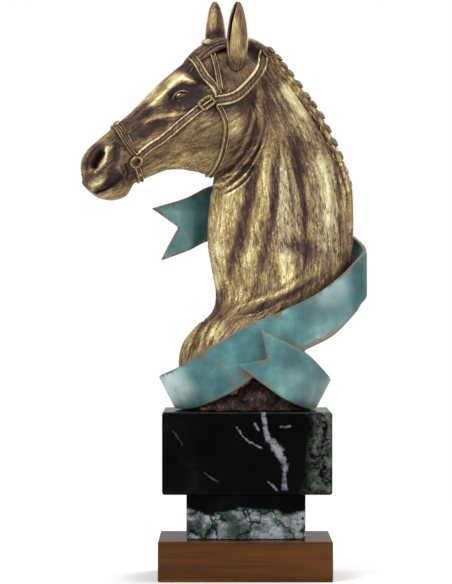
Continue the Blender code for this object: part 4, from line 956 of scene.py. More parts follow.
crest = np.array(MANE)
course = directions(crest)
inwards = np.stack([course[:, 1], -course[:, 0]], axis=1)
inwards *= np.sign((inwards * (-1, -1)).sum(1))[:, None]
knots, locks = [], []
for place, along, inward in zip(crest, course, inwards):
    centre = place + inward * KNOT_SINK
    knots.append(knot(np.array([centre[0], 0, centre[1]]), math.atan2(along[1], along[0])))
    for side in (1, -1):
        path = [beside(place + along * step, inward * (LOCK_DEPTH + LOCK_BOW * bow), side, LOCK_LIFT)
                for step, bow in zip(LOCK_RUN, np.sin(np.linspace(0, math.pi, LOCK_STEPS)))]
        locks.append(tube(path, LOCK_THICKNESS * LOCK_TAPER, 8))
rope_line = spline(np.vstack([POLL_ROPE, crest + inwards * ROPE_SINK]), 90)
crest_rope = tube([(x, 0, z) for x, z in rope_line], ROPE_RADIUS)
keep("mane_knots", knots + [crest_rope], "mane")
keep("mane_locks", locks, "mane")

# %% [markdown]
# The forelock comes forward between the ears and lies flat on the brow under the browband, left nearly black
# by the gilder's cloth.

# %% Forelock
FORELOCK_OUTER = [(-2.0, 89.9), (-6.6, 90.3), (-10.6, 88.6), (-13.6, 86.0), (-15.6, 83.4)]
FORELOCK_INNER = [(-2.6, 88.6), (-6.4, 88.5), (-9.8, 86.8), (-12.6, 84.6), (-14.6, 82.2)]
FORELOCK_HALF_WIDTH, FORELOCK_LOCKS = 2.6, 9
FORELOCK_RADIUS, FORELOCK_WAVE = 0.62, 0.18
outer, inner = spline(FORELOCK_OUTER, 60), spline(FORELOCK_INNER, 60)
tapering = 0.3 + 0.7 * np.sin(np.linspace(0.5, math.pi - 0.05, 60)) ** 0.6
fore = []
for share in np.linspace(-1, 1, FORELOCK_LOCKS):
    line = outer + (inner - outer) * share ** 2
    wave = FORELOCK_WAVE * np.sin(np.linspace(0, 7, 60) + 9 * share)
    path = [(x, share * FORELOCK_HALF_WIDTH + drift, z) for (x, z), drift in zip(line, wave)]
    fore.append(tube(path, FORELOCK_RADIUS * tapering, 12))
keep("forelock", fore, "dark gold")

# %% [markdown]
# ## Banner
#
# The banner is one strip wound round the neck, with a swallow tail at each end. It is drawn as two edges, top
# and bottom, that the strip spans. It lies outside the body everywhere: where the body is wider than the
# edges say, the strip is pushed out, and the push is smoothed so that it runs in one sweep.

# %% The banner's two edges
BANNER = [
    ((-22.9, 49.2), (-20.6, 36.4), 2.4, 1.6),
    ((-14.7, 51.7), (-13.8, 38.9), 4.6, 3.6),
    ((-7.6, 54.9), (-9.3, 41.1), 6.4, 6.0),
    ((0.7, 54.4), (-0.5, 43.1), 8.6, 8.8),
    ((11.0, 51.4), (9.8, 40.2), 9.4, 10.0),
    ((20.8, 46.5), (20.3, 35.3), 7.6, 8.6),
    ((26.4, 42.6), (26.4, 31.1), 4.6, 5.2),
    ((29.3, 39.4), (29.3, 27.9), 0.0, 0.0),
    ((27.7, 37.0), (28.0, 25.5), -4.4, -4.6),
    ((23.3, 32.6), (26.3, 22.8), -7.8, -7.6),
    ((17.4, 28.2), (21.4, 17.9), -10.2, -10.0),
    ((10.0, 24.5), (14.8, 14.5), -12.2, -12.4),
    ((0.2, 20.4), (5.6, 10.3), -13.2, -13.8),
    ((-8.7, 15.2), (-3.0, 4.2), -12.6, -13.4),
    ((-16.0, 10.5), (-11.6, 0.4), -8.6, -9.4),
    ((-20.6, 8.3), (-16.5, 0.3), -1.0, -1.4),
    ((-17.0, 8.7), (-13.5, 0.3), 8.0, 8.0),
    ((-7.4, 9.6), (-6.9, 0.4), 12.6, 13.0),
    ((2.4, 10.0), (1.9, 0.5), 13.6, 14.2),
    ((12.2, 9.4), (11.0, 0.4), 11.4, 12.0),
    ((20.3, 7.3), (16.7, 0.3), 2.0, 2.4),
    ((18.2, 10.6), (14.4, 0.3), -8.0, -8.4),
    ((14.4, 14.2), (9.8, 2.3), -13.0, -13.4),
    ((9.3, 16.9), (4.1, 6.3), -15.2, -15.6),
    ((3.9, 19.8), (-2.2, 11.0), -15.8, -16.2),
]
BANNER_THICKNESS = 3.0 * MILLIMETRE
BANNER_LENGTHWAYS, BANNER_ACROSS = 300, 21
BANNER_NOTCH = (0.028, 0.026)  # depth of the two swallow tails, as shares of the banner's length
BANNER_CLEARANCE = 0.35
BANNER_TURNING = 5.0  # nearer than this to the plane of symmetry the banner turns around the neck
WIDEN_ROUNDS, EASE_ROUNDS = 8, 40  # how often the push is spread to its neighbours, and then averaged


def banner_middle(skin):
    """The banner's middle layer as a grid of points, pushed clear of the body."""
    edges = spline([(*top, deep, *bottom, low) for top, bottom, deep, low in BANNER], 600)
    tops = edges[:, [0, 2, 1]]
    bottoms = edges[:, [3, 5, 4]]
    line = np.linspace(0, 1, len(edges))
    middle = np.zeros((BANNER_LENGTHWAYS, BANNER_ACROSS, 3))
    for j, v in enumerate(np.linspace(0, 1, BANNER_ACROSS)):
        notch = 1 - abs(2 * v - 1)
        along = np.linspace(BANNER_NOTCH[0] * notch, 1 - BANNER_NOTCH[1] * notch, BANNER_LENGTHWAYS)
        row = tops + (bottoms - tops) * v
        middle[:, j] = np.stack([np.interp(along, line, row[:, k]) for k in range(3)], axis=1)
    push = np.zeros((BANNER_LENGTHWAYS, BANNER_ACROSS))
    for i in range(BANNER_LENGTHWAYS):
        for j in range(BANNER_ACROSS):
            x, y, z = middle[i, j]
            found = skin.side(x, max(z, 0.2))
            if found is not None and abs(y) > BANNER_TURNING:
                push[i, j] = max(0.0, abs(found[0][1]) + BANNER_THICKNESS / 2 + BANNER_CLEARANCE - abs(y))
    for _ in range(WIDEN_ROUNDS):
        push[1:-1] = np.maximum(push[1:-1], np.maximum(push[:-2], push[2:]))
        push[:, 1:-1] = np.maximum(push[:, 1:-1], np.maximum(push[:, :-2], push[:, 2:]))
    for _ in range(EASE_ROUNDS):
        push[1:-1] = (push[:-2] + 2 * push[1:-1] + push[2:]) / 4
        push[:, 1:-1] = (push[:, :-2] + 2 * push[:, 1:-1] + push[:, 2:]) / 4
    middle[:, :, 1] += np.sign(middle[:, :, 1]) * push * smoothstep(0, BANNER_TURNING, abs(middle[:, :, 1]))
    return middle


def slab(front, back):
    """A closed skin between two grids of points."""
    rows, columns = front.shape[:2]
    vertices = np.vstack([front.reshape(-1, 3), back.reshape(-1, 3)])
    shift = rows * columns
    faces = []
    for i in range(rows - 1):
        for j in range(columns - 1):
            a, d = i * columns + j, (i + 1) * columns + j
            b, c = a + 1, d + 1
            faces.append((a, b, c, d))
            faces.append((shift + d, shift + c, shift + b, shift + a))
    rim = list(range(columns))
    rim += [i * columns + columns - 1 for i in range(1, rows)]
    rim += [(rows - 1) * columns + j for j in range(columns - 2, -1, -1)]
    rim += [i * columns for i in range(rows - 2, 0, -1)]
    for a, b in zip(rim, rim[1:] + rim[:1]):
        faces.append((b, a, shift + a, shift + b))
    return vertices, faces


# %% Make the banner
middle = banner_middle(skin)
lengthways, crossways = np.gradient(middle, axis=0), np.gradient(middle, axis=1)
outward = np.cross(lengthways, crossways)
outward /= np.linalg.norm(outward, axis=2)[:, :, None]
front = as_seen(middle + outward * BANNER_THICKNESS / 2)
back = as_seen(middle - outward * BANNER_THICKNESS / 2)
banner_edge = as_seen(np.vstack([middle[:, 0], middle[:, -1], middle[0], middle[-1]]))
rounding = {"width": 0.42, "segments": 3, "limit_method": "ANGLE", "angle_limit": math.radians(50)}
banner = evaluated(shell_mesh("banner", [slab(front, back)]), [("BEVEL", rounding)])
made_pieces["banner"] = (banner, "banner")
print("the banner is", round(np.linalg.norm(lengthways[:, 10], axis=1).sum() * UNIT * 100, 1), "cm long")

# %% [markdown]
# ## Rough ground
#
# Neck and banner spring from a knob of rough rock, which fills the space between them and the marble. A few
# lumps melted together and broken up by noise give the chipped look of resin cast over crumpled foil.

# %% Rock under the bust
# Each lump: its centre, its half axes and its tilt in degrees.
GROUND = [
    ((1.2, 0, 0.5), (14.6, 11.0, 5.2), 0),
    ((2.5, -6.5, 2.6), (6.5, 5.0, 5.6), -18),
    ((-5.0, -6.0, 1.0), (7.5, 5.2, 3.4), 12),
    ((9.5, -5.0, 1.2), (5.6, 4.8, 4.2), 25),
    ((-9.0, 0, 0.5), (5.0, 8.5, 3.2), 8),
    ((11.0, 3.0, 0.8), (5.2, 6.0, 4.8), -14),
    ((0.5, 7.0, 1.4), (8.0, 4.6, 4.8), 10),
    ((-7.5, 6.5, 0.8), (5.4, 4.2, 3.6), -16),
    ((7.5, 8.0, 0.8), (4.8, 3.8, 3.6), 20),
]
LUMP_SIZE, LUMP_HEIGHT = 2.2, 0.55
CHIP_SIZE, CHIP_HEIGHT = 0.9, 0.5
heaps = [ball(centre, axes, math.radians(tilt), 40, 24) for centre, axes, tilt in GROUND]
rock = fused(heaps, VOXEL, relax=3)
points, normals = points_of(rock), normals_of(rock)
lumps = np.array([noise.noise(Vector(p / LUMP_SIZE)) * LUMP_HEIGHT
                  + abs(noise.noise(Vector(p / CHIP_SIZE))) * CHIP_HEIGHT for p in points])
points += normals * lumps[:, None]
points[:, 2] = np.maximum(points[:, 2], 0.0)
set_points(rock, points)
made_pieces["rough_ground"] = (rock, "rock")
print("the ground spans", np.round((points.max(0) - points.min(0)) * UNIT * 1000), "mm")

# %% [markdown]
# ## Where gold wears, and where shade and light are painted
#
# Antique gold is painted on in two coats: a dark brown one over everything, then gold rubbed on with a cloth.
# The cloth catches the ridges and leaves the hollows dark. Three things stand for that here: how far a point
# stands above its neighbours, how open it is to the air, and broad dark or light strokes. The last two are
# only partly that wash and rubbing: they also hold painted shade where near things close a point in, and
# painted highlights where the light falls. A pale sheen painted on the neck and near ear is a highlight too.

# %% Smooth values over a mesh
def smoothed(mesh, values, rounds):
    """Values at the mesh's points, averaged with their neighbours this many times."""
    ends = np.empty(len(mesh.edges) * 2, np.int32)
    mesh.edges.foreach_get("vertices", ends)
    a, b = ends.reshape(-1, 2).T
    count = len(mesh.vertices)
    neighbours = np.maximum(np.bincount(a, minlength=count) + np.bincount(b, minlength=count), 1)
    values = values.reshape(count, -1).copy()
    for _ in range(rounds):
        for column in values.T:
            total = np.bincount(a, column[b], count) + np.bincount(b, column[a], count)
            column[:] = (column + total / neighbours) / 2
    return values


def standing_out(mesh, rounds):
    """How far each point stands above the smoothed surface around it, in units."""
    points, normals = points_of(mesh), normals_of(mesh)
    return ((points - smoothed(mesh, points, rounds)) * normals).sum(1)


# %% How open each point is
def sky_directions(count):
    """Directions spread evenly over a sphere."""
    index = np.arange(count) + 0.5
    lift = np.arccos(1 - 2 * index / count)
    turn = math.pi * (1 + 5 ** 0.5) * index
    return np.stack([np.cos(turn) * np.sin(lift), np.sin(turn) * np.sin(lift), np.cos(lift)], axis=1)


SKY = sky_directions(18)
SHADE_REACH = 7.0  # things further off than this close nothing off
OFF_THE_SKIN, LEAST_FACING = 0.12, 0.15  # rays start just clear of the skin and don't graze it
shells = [skin_of(mesh) for mesh, _ in made_pieces.values()]
corners = [Vector(p) for points, _ in shells for p in points]
polygons, start = [], 0
for points, faces in shells:
    polygons += [tuple(start + i for i in face) for face in faces]
    start += len(points)
everything = BVHTree.FromPolygons(corners, polygons)


def shut_in(mesh):
    """How much of the sky over each point is closed off by near things, from 0 to 1."""
    shade = np.zeros(len(mesh.vertices))
    for i, (point, normal) in enumerate(zip(points_of(mesh), normals_of(mesh))):
        origin = Vector(point + normal * OFF_THE_SKIN)
        facing = SKY @ normal
        total = 0.0
        for k in np.where(facing > LEAST_FACING)[0]:
            distance = everything.ray_cast(origin, Vector(SKY[k]), SHADE_REACH)[3]
            total += facing[k]
            if distance is not None:
                shade[i] += facing[k] * (1 - distance / SHADE_REACH)
        shade[i] /= total
    return smoothed(mesh, shade, 2)[:, 0]


# %% [markdown]
# The broad strokes are drawn on the side view, like the reliefs: dark purple-brown round the eye, in the
# temple, behind the jaw and along the crest, bright gold over the brow, the jaw's edge and the throat.
# They are partly the finisher's wash and rubbing, partly painted shade (in the hollows, under the
# cheekpiece and the shoulder edge, on the breast) and painted highlights (on the brow, nose, jaw, throat
# and the neck's muscles).

# %% Broad strokes: the finisher's wash, painted shade and painted highlights
FINISH_AND_LIGHT_STROKES = [
    ("eye hollow", [(-19.0, 75.0), (-16.5, 76.5), (-13.0, 77.2), (-10.0, 76.6)], 2.9, -0.46),
    ("under the eye", [(-20.5, 73.6), (-17.0, 73.8), (-13.0, 74.6), (-9.8, 75.4)], 2.2, -0.46),
    ("temple", [(-13.6, 83.6), (-11.6, 82.0), (-10.2, 79.5)], 2.3, -0.55),
    ("forehead edge", [(-12.4, 86.4), (-15.0, 83.6)], 1.6, -0.3),
    ("side of the nose", [(-31.0, 68.0), (-26.5, 71.0), (-22.0, 74.0)], 1.4, -0.45),
    ("under the facial crest", [(-28.0, 65.2), (-22.5, 68.9), (-17.5, 71.2)], 1.5, -0.5),
    ("behind the nostril", [(-32.0, 57.6), (-31.2, 60.6), (-30.6, 64.8)], 2.2, -0.38),
    ("nostril", [(-35.2, 62.7), (-36.2, 61.2), (-37.2, 59.7)], 1.3, -0.9),
    ("mouth", [(-35.6, 53.2), (-34.1, 53.9), (-32.0, 55.3), (-30.6, 56.4)], 0.8, -0.7),
    ("lip side", [(-37.6, 55.6), (-35.0, 56.6)], 1.6, -0.3),
    ("chin", [(-31.0, 54.4), (-28.4, 57.2)], 1.4, -0.28),
    ("upper cheek", [(-9.8, 74.0), (-6.0, 73.4), (-1.5, 74.8), (2.8, 78.6)], 2.6, -0.42),
    ("cheek", [(-9.5, 70.5), (-10.5, 66.5), (-9.0, 62.5)], 3.0, -0.16),
    ("cheek patch", [(-3.2, 71.0), (-3.0, 68.4)], 1.8, 0.32),
    ("cheek shadow", [(-5.6, 64.6), (-2.6, 62.8)], 1.3, -0.16),
    ("under the cheekpiece", [(-26.0, 61.8), (-20.0, 65.4), (-13.5, 69.5)], 0.9, -0.34),
    ("behind the jaw", [(5.1, 77.2), (5.2, 73.0), (3.4, 66.1), (0.6, 60.0), (-3.0, 56.4)], 1.2, -0.36),
    ("jaw to neck", [(5.8, 77.5), (8.0, 74.6), (10.8, 72.5)], 2.2, -0.16),
    ("poll side", [(2.6, 84.5), (5.6, 82.6), (8.2, 79.8)], 2.0, -0.2),
    ("under the ears", [(-7.0, 82.0), (-3.6, 81.0), (-1.0, 83.0)], 2.0, -0.26),
    ("hair behind the ears", [(-0.4, 89.6), (2.6, 88.6), (5.6, 87.4)], 1.4, -0.45),
    ("neck dark one", THROAT_GROOVE, 0.9, -0.26),
    ("neck dark two", [(7.0, 68.0), (7.5, 56.9), (6.8, 47.9), (5.2, 40.0), (3.4, 32.0)], 0.8, -0.26),
    ("neck dark three", [(11.5, 67.7), (13.1, 58.2), (14.4, 49.4), (14.9, 41.2)], 0.8, -0.3),
    ("neck patch", [(12.0, 66.5), (13.2, 62.5), (13.8, 59.5)], 1.7, -0.2),
    ("edge of the pale lobe", [(15.0, 43.0), (14.9, 39.4), (13.8, 33.8), (10.2, 30.4), (7.1, 28.4)],
     0.45, -0.34),
    ("neck low patch", [(11.6, 40.2), (14.1, 39.6), (15.7, 38.6)], 1.7, -0.26),
    ("neck dark four", [(20.8, 63.7), (22.8, 55.7), (23.3, 43.2), (23.6, 36.9)], 0.6, -0.15),
    ("crest band", [(11.0, 79.8), (15.4, 73.8), (18.9, 67.6), (21.4, 61.4)], 1.2, -0.2),
    ("under the shoulder edge", [(-1.7, 22.0), (3.2, 24.2), (9.0, 26.4), (13.5, 29.0), (18.5, 32.4)],
     1.0, -0.2),
    ("breast shadow", [(-7.5, 30.0), (-7.4, 25.0), (-7.4, 21.0)], 1.6, -0.3),
    ("breast fold", [(-9.2, 22.5), (-11.4, 18.4), (-12.6, 14.0)], 0.9, -0.3),
    ("wrinkle light", EYE_WRINKLE, 0.35, 0.4),
    ("second wrinkle light", SECOND_EYE_WRINKLE, 0.3, 0.3),
    ("brow light", [(-19.6, 77.4), (-17.2, 79.8), (-15.2, 80.9), (-11.5, 79.9)], 1.0, 0.64),
    ("nose light", [(-31.0, 70.8), (-25.5, 75.2), (-20.5, 79.2)], 1.0, 0.4),
    ("side of the nose light", [(-24.0, 72.6), (-20.6, 75.8), (-18.2, 78.2)], 0.8, 0.24),
    ("facial crest light", [(-25.6, 69.4), (-22.6, 70.9), (-19.0, 71.4), (-15.4, 71.9)], 0.5, 0.5),
    ("nostril rim light", [(-31.4, 64.2), (-33.8, 62.4), (-34.5, 60.1), (-36.4, 58.2)], 0.6, 0.46),
    ("lip light", [(-34.3, 56.2), (-34.6, 54.6), (-36.2, 53.8)], 0.7, 0.42),
    ("jaw light", [(-20.5, 59.0), (-15.0, 59.6), (-9.5, 58.6)], 1.0, 0.08),
    ("cheek light", [(-16.0, 62.5), (-13.5, 61.0)], 1.4, 0.14),
    ("throat light", [*WIND_PIPE, (-7.6, 27.0)], 2.2, 0.32),
    ("neck light one", [(5.6, 66.1), (4.4, 56.9), (4.1, 49.4), (2.2, 43.2), (-1.3, 32.3)], 1.4, 0.15),
    ("neck light two", [(8.5, 63.7), (9.4, 56.9), (9.7, 49.5)], 1.6, 0.05),
    ("neck light three", CREST_MUSCLE, 2.0, 0.26),
    ("low neck light", [(8.9, 37.0), (9.9, 34.0), (10.6, 31.8)], 1.5, 0.4),
    ("low gold", [(3.6, 41.0), (1.4, 35.4), (-0.8, 30.2)], 1.5, 0.28),
    ("upper neck light", [(9.0, 80.6), (12.6, 75.5), (15.4, 70.5)], 1.9, 0.42),
    ("mane edge light", [(6.6, 84.4), (14.4, 77.5), (19.1, 71.9)], 0.5, 0.3),
    ("shoulder edge light", [(-3.1, 24.1), *SHOULDER_EDGE], 0.6, 0.12),
    ("chest light", [(-2.0, 27.8), (-4.0, 31.0)], 1.6, 0.16),
    ("breast light", [(-8.8, 21.0), (-6.0, 19.4), (-12.0, 19.0), (-14.6, 15.0)], 1.4, 0.26),
]
# On the ears: dark hollows and roots, partly wash and partly painted shade; the far ear's shaded edge is
# painted shade, and the light down the middles is a painted highlight.
EAR_SHADE_AND_LIGHT = [
    ("near hollow", [(-3.3, 97.6), (-3.9, 93.0), (-3.9, 88.6)], 0.5, -0.35),
    ("near back", [(-1.2, 97.0), (-0.5, 92.0), (-0.7, 86.6)], 0.5, -0.16),
    ("near root", [(-3.2, 84.6), (-1.4, 84.2)], 1.2, -0.3),
    ("near middle", [(-2.2, 96.0), (-2.0, 88.0)], 0.6, 0.2),
    ("far root", [(-8.9, 91.6), (-6.4, 92.4)], 0.9, -0.5),
    ("far edge", [(-6.7, 98.6), (-6.2, 94.0)], 0.5, -0.3),
    ("far middle", [(-7.6, 98.0), (-7.8, 94.0)], 0.5, 0.2),
]
# A pale green-white sheen painted where the neck's muscles and the near ear catch the light.
PAINTED_SHEEN = [
    ("neck", [(8.6, 62.0), (9.6, 55.0), (9.8, 47.0), (10.0, 40.0), (10.6, 34.0)], 2.4, 0.4),
    ("back of the neck", [(17.6, 64.0), (20.0, 53.0), (20.3, 44.0), (19.0, 36.0)], 2.4, 0.45),
    ("upper neck", [(10.0, 76.0), (13.0, 70.0)], 3.0, 0.3),
    ("near ear", [(-1.6, 86.0), (-1.8, 96.0)], 2.0, 0.35),
]


def strokes_at(points, strokes):
    """The strokes' sum at places of the side view, fading out at their sides."""
    seen = np.stack([points[:, 0], np.zeros(len(points)), points[:, 2]], axis=1)
    total = np.zeros(len(points))
    for _, path, width, amount in strokes:
        line = np.array([(x, 0, z) for x, z in spline(path, 4 * len(path))])
        box_low, box_high = line.min(0) - width * 2, line.max(0) + width * 2
        near = np.where(((seen >= box_low) & (seen <= box_high)).all(1))[0]
        total[near] += amount * smoothstep(0.0, 0.9, closeness_to_path(seen[near], line, width * 2))
    return total


# %% Rub the gold on
def set_attribute(mesh, name, values, kind="FLOAT"):
    """Stores a value for each point of the mesh, for its material to read."""
    made = mesh.attributes.new(name, kind, "POINT")
    made.data.foreach_set("value" if kind == "FLOAT" else "vector", values.astype(np.float32).ravel())


def near_side_twin(points):
    """Straight-ahead points, all taken to the near side and turned, for reading the strokes."""
    twin = points * (1, NEAR, 1)
    twin[:, 1] = NEAR * abs(points[:, 1])
    return turned(twin)


# The ground coat's share at the start: lower is darker.
BASE = {"gold": 0.52, "strap": 0.43, "ear": 0.44, "mane": 0.36, "dark gold": 0.12, "lid": 0.46, "eye": 0.2,
        "rock": 0.03}
# Ridges as fine as a wrinkle and swellings as broad as a muscle: rounds of smoothing, and height that counts.
RIDGE_ROUNDS, RIDGE_HEIGHT = 8, 0.12
SWELL_ROUNDS, SWELL_HEIGHT = 60, 0.6
RIDGE_LIGHT, STRAP_RIDGE_LIGHT, SWELL_LIGHT, SHADE_DARK = 0.16, 0.26, 0.13, 0.55
STROKE_SHARE = 0.86
EYE_GLINT = np.array([-0.22, 0.92, 0.32])  # where a glint is painted on the eyeball
GLINT_LIGHT = 0.7
FACE_SCRATCHES = 0.85  # how strong the scratches are off the neck
HAIR_STRETCH = 0.45  # the grain of the loose pieces is drawn out upwards by this


def paint_gold(name, mesh, finish):
    """Gives each point its wear and painted light, its painted sheen, and its place along the hair."""
    points = points_of(mesh)
    ridge = np.clip(standing_out(mesh, RIDGE_ROUNDS) / RIDGE_HEIGHT, -1.7, 1.7)
    swell = np.clip(standing_out(mesh, SWELL_ROUNDS) / SWELL_HEIGHT, -1.5, 1.5)
    ridge_light = STRAP_RIDGE_LIGHT if finish == "strap" else RIDGE_LIGHT
    # Lighter on ridges and swellings, which the cloth caught; darker where near things close a point in:
    # partly the wash left in hollows, partly painted shade.
    wear_and_painted_light = BASE[finish] + ridge_light * ridge + SWELL_LIGHT * swell - SHADE_DARK * shut_in(mesh)
    pale = np.zeros(len(points))
    combed = np.full(len(points), FACE_SCRATCHES)
    grain = points * (1.0, 1.0, 1.0 if finish == "rock" else HAIR_STRETCH)
    if name == "horse_body":
        twin = near_side_twin(straight_body)
        # Broad strokes: wash and rubbing, painted shade and painted highlights.
        wear_and_painted_light += STROKE_SHARE * strokes_at(twin, FINISH_AND_LIGHT_STROKES)
        # A pale sheen painted where the light falls: a painted highlight.
        pale = strokes_at(twin, PAINTED_SHEEN)
        combed += (1 - FACE_SCRATCHES) * on_neck
        grain = places
    if finish == "ear":
        # Painted shade and highlights on the ears, with some wash.
        wear_and_painted_light += STROKE_SHARE * strokes_at(points, EAR_SHADE_AND_LIGHT)
    if finish == "eye":
        # A painted glint on the eyeball.
        outward = np.sign(points[:, 1].mean())
        wear_and_painted_light += GLINT_LIGHT * smoothstep(0.93, 0.98, normals_of(mesh) @ (EYE_GLINT * (1, outward, 1)))
    set_attribute(mesh, "wear_and_painted_light", wear_and_painted_light)
    set_attribute(mesh, "combed", combed)
    set_attribute(mesh, "pale", pale)
    set_attribute(mesh, "grain", grain, "FLOAT_VECTOR")
    print(name, "worn from", round(float(wear_and_painted_light.min()), 2), "to", round(float(wear_and_painted_light.max()), 2))


# On the banner's near side: where a pale sheen is painted on as a highlight, and where it is stained.
BANNER_SHEEN = [
    ("left end", [(-19.2, 7.6), (-15.6, 4.6)], 2.6, 0.8),
    ("right turn", [(17.0, 25.4), (20.6, 28.4), (24.4, 31.6)], 2.0, 0.35),
    ("front tail", [(12.2, 8.0), (15.0, 5.4)], 2.2, 0.15),
]
BANNER_STAINS = [
    ("left", [(-9.6, 12.6), (-5.0, 11.4)], 1.6, 0.13),
    ("middle", [(8.0, 21.8), (12.4, 20.6)], 1.6, 0.12),
    ("lower right edge", [(13.6, 14.6), (19.0, 17.4), (23.0, 20.0)], 0.9, 0.22),
    ("under the tail", [(-4.0, 6.8), (1.0, 9.0)], 0.9, 0.15),
]


def paint_banner(mesh):
    """Gives each point its distance from the edge, its painted shade and sheen, and how stained it is."""
    points = points_of(mesh)
    near_side = smoothstep(2.0, -1.0, points[:, 1])
    edge = tree_of(banner_edge)
    set_attribute(mesh, "rim", np.array([edge.find(point)[2] for point in points]))
    set_attribute(mesh, "pale", strokes_at(points, BANNER_SHEEN) * near_side)
    set_attribute(mesh, "stain", strokes_at(points, BANNER_STAINS) * near_side)
    # Painted shade: the ground coat shows more where near things close the banner in.
    set_attribute(mesh, "shut_in_shade", shut_in(mesh))


for name, (mesh, finish) in made_pieces.items():
    if finish == "banner":
        paint_banner(mesh)
    else:
        paint_gold(name, mesh, finish)

# %% [markdown]
# ## Building a material
#
# Every material is a small tree of nodes. One helper adds a node and another gives it its values and links.
# Colours are written as they would be picked on a screen, so one function turns them to linear light. A
# noise's scale is how many of its clouds fit in a metre, so it follows from one cloud's real size.

# %% Colour and node helpers
def colour(code):
    """A screen colour such as #B59A62 as linear red, green, blue and alpha."""
    shares = [int(code[i : i + 2], 16) / 255 for i in (1, 3, 5)]
    return (*[s / 12.92 if s <= 0.04045 else ((s + 0.055) / 1.055) ** 2.4 for s in shares], 1.0)


def feed(tree, node, inputs):
    """Gives a node its inputs: each a value, a socket to link, or a node whose first output is linked."""
    for key, value in inputs.items():
        if isinstance(value, bpy.types.Node):
            value = value.outputs[0]
        if isinstance(value, bpy.types.NodeSocket):
            tree.links.new(value, node.inputs[key])
        else:
            node.inputs[key].default_value = value


def add(tree, kind, inputs=None, stops=None, **settings):
    """A node with its settings, its ramp's stops and its inputs."""
    made = tree.nodes.new("ShaderNode" + kind)
    for key, value in settings.items():
        setattr(made, key, value)
    if stops:
        elements = made.color_ramp.elements
        while len(elements) < len(stops):
            elements.new(1.0)
        for element, (place, code) in zip(elements, stops):
            element.position = place
            element.color = colour(code)
    feed(tree, made, inputs or {})
    return made


def per_metre(size):
    """How many marks of this size, in millimetres, fit in a metre: the scale of their pattern."""
    return 1000 / size


def away_from(tree, value, middle):
    """How far a value is from the middle one, above or below."""
    away = add(tree, "Math", {0: value, 1: middle}, operation="SUBTRACT")
    return add(tree, "Math", {0: away}, operation="ABSOLUTE")


def new_material(name):
    """A plain material, with its tree and its shader."""
    made = bpy.data.materials.new(name)
    made.use_nodes = True
    return made, made.node_tree, made.node_tree.nodes["Principled BSDF"]


# %% [markdown]
# ## Antique gold on resin
#
# The surface is a dark purple-brown ground coat with bronze powder rubbed over it, then a thin satin lacquer.
# Powder in lacquer is only partly metallic: it glints softly and never mirrors. Where the cloth passed, the
# colour runs from brown through old gold to a pale worn gold.

# %% Antique gold
GOLD_STOPS = [(0.0, "#22110F"), (0.18, "#3F2620"), (0.34, "#5B4434"), (0.48, "#776142"), (0.61, "#8E774E"),
              (0.75, "#AC9864"), (0.88, "#CBBB86"), (1.0, "#E4D9AC")]
# The pale green-white of the painted sheen.
SHEEN_COLOUR = "#C6C8A8"
# Width, depth and length of each layer's marks in millimetres, and how strongly it shifts the wear: clouds,
# streaks, scratches and specks. The last two are about a pixel wide, as fine as the picture can show.
GOLD_LAYERS = (((5.23, 5.23, 10.9), 0.5), ((2.377, 3.27, 16.35), 0.55), ((0.5685, 0.872, 4.36), 1.0),
               ((0.7265, 0.7265, 1.3075), 0.5))
COMB_MARK, COMB_CUT = (1.376, 2.01, 13.1), 0.3  # the comb's own cuts


def along_hair(size):
    """The scale of a pattern with marks of this size, in millimetres, where the places are in units."""
    return tuple(1 / (side * MILLIMETRE) for side in size)


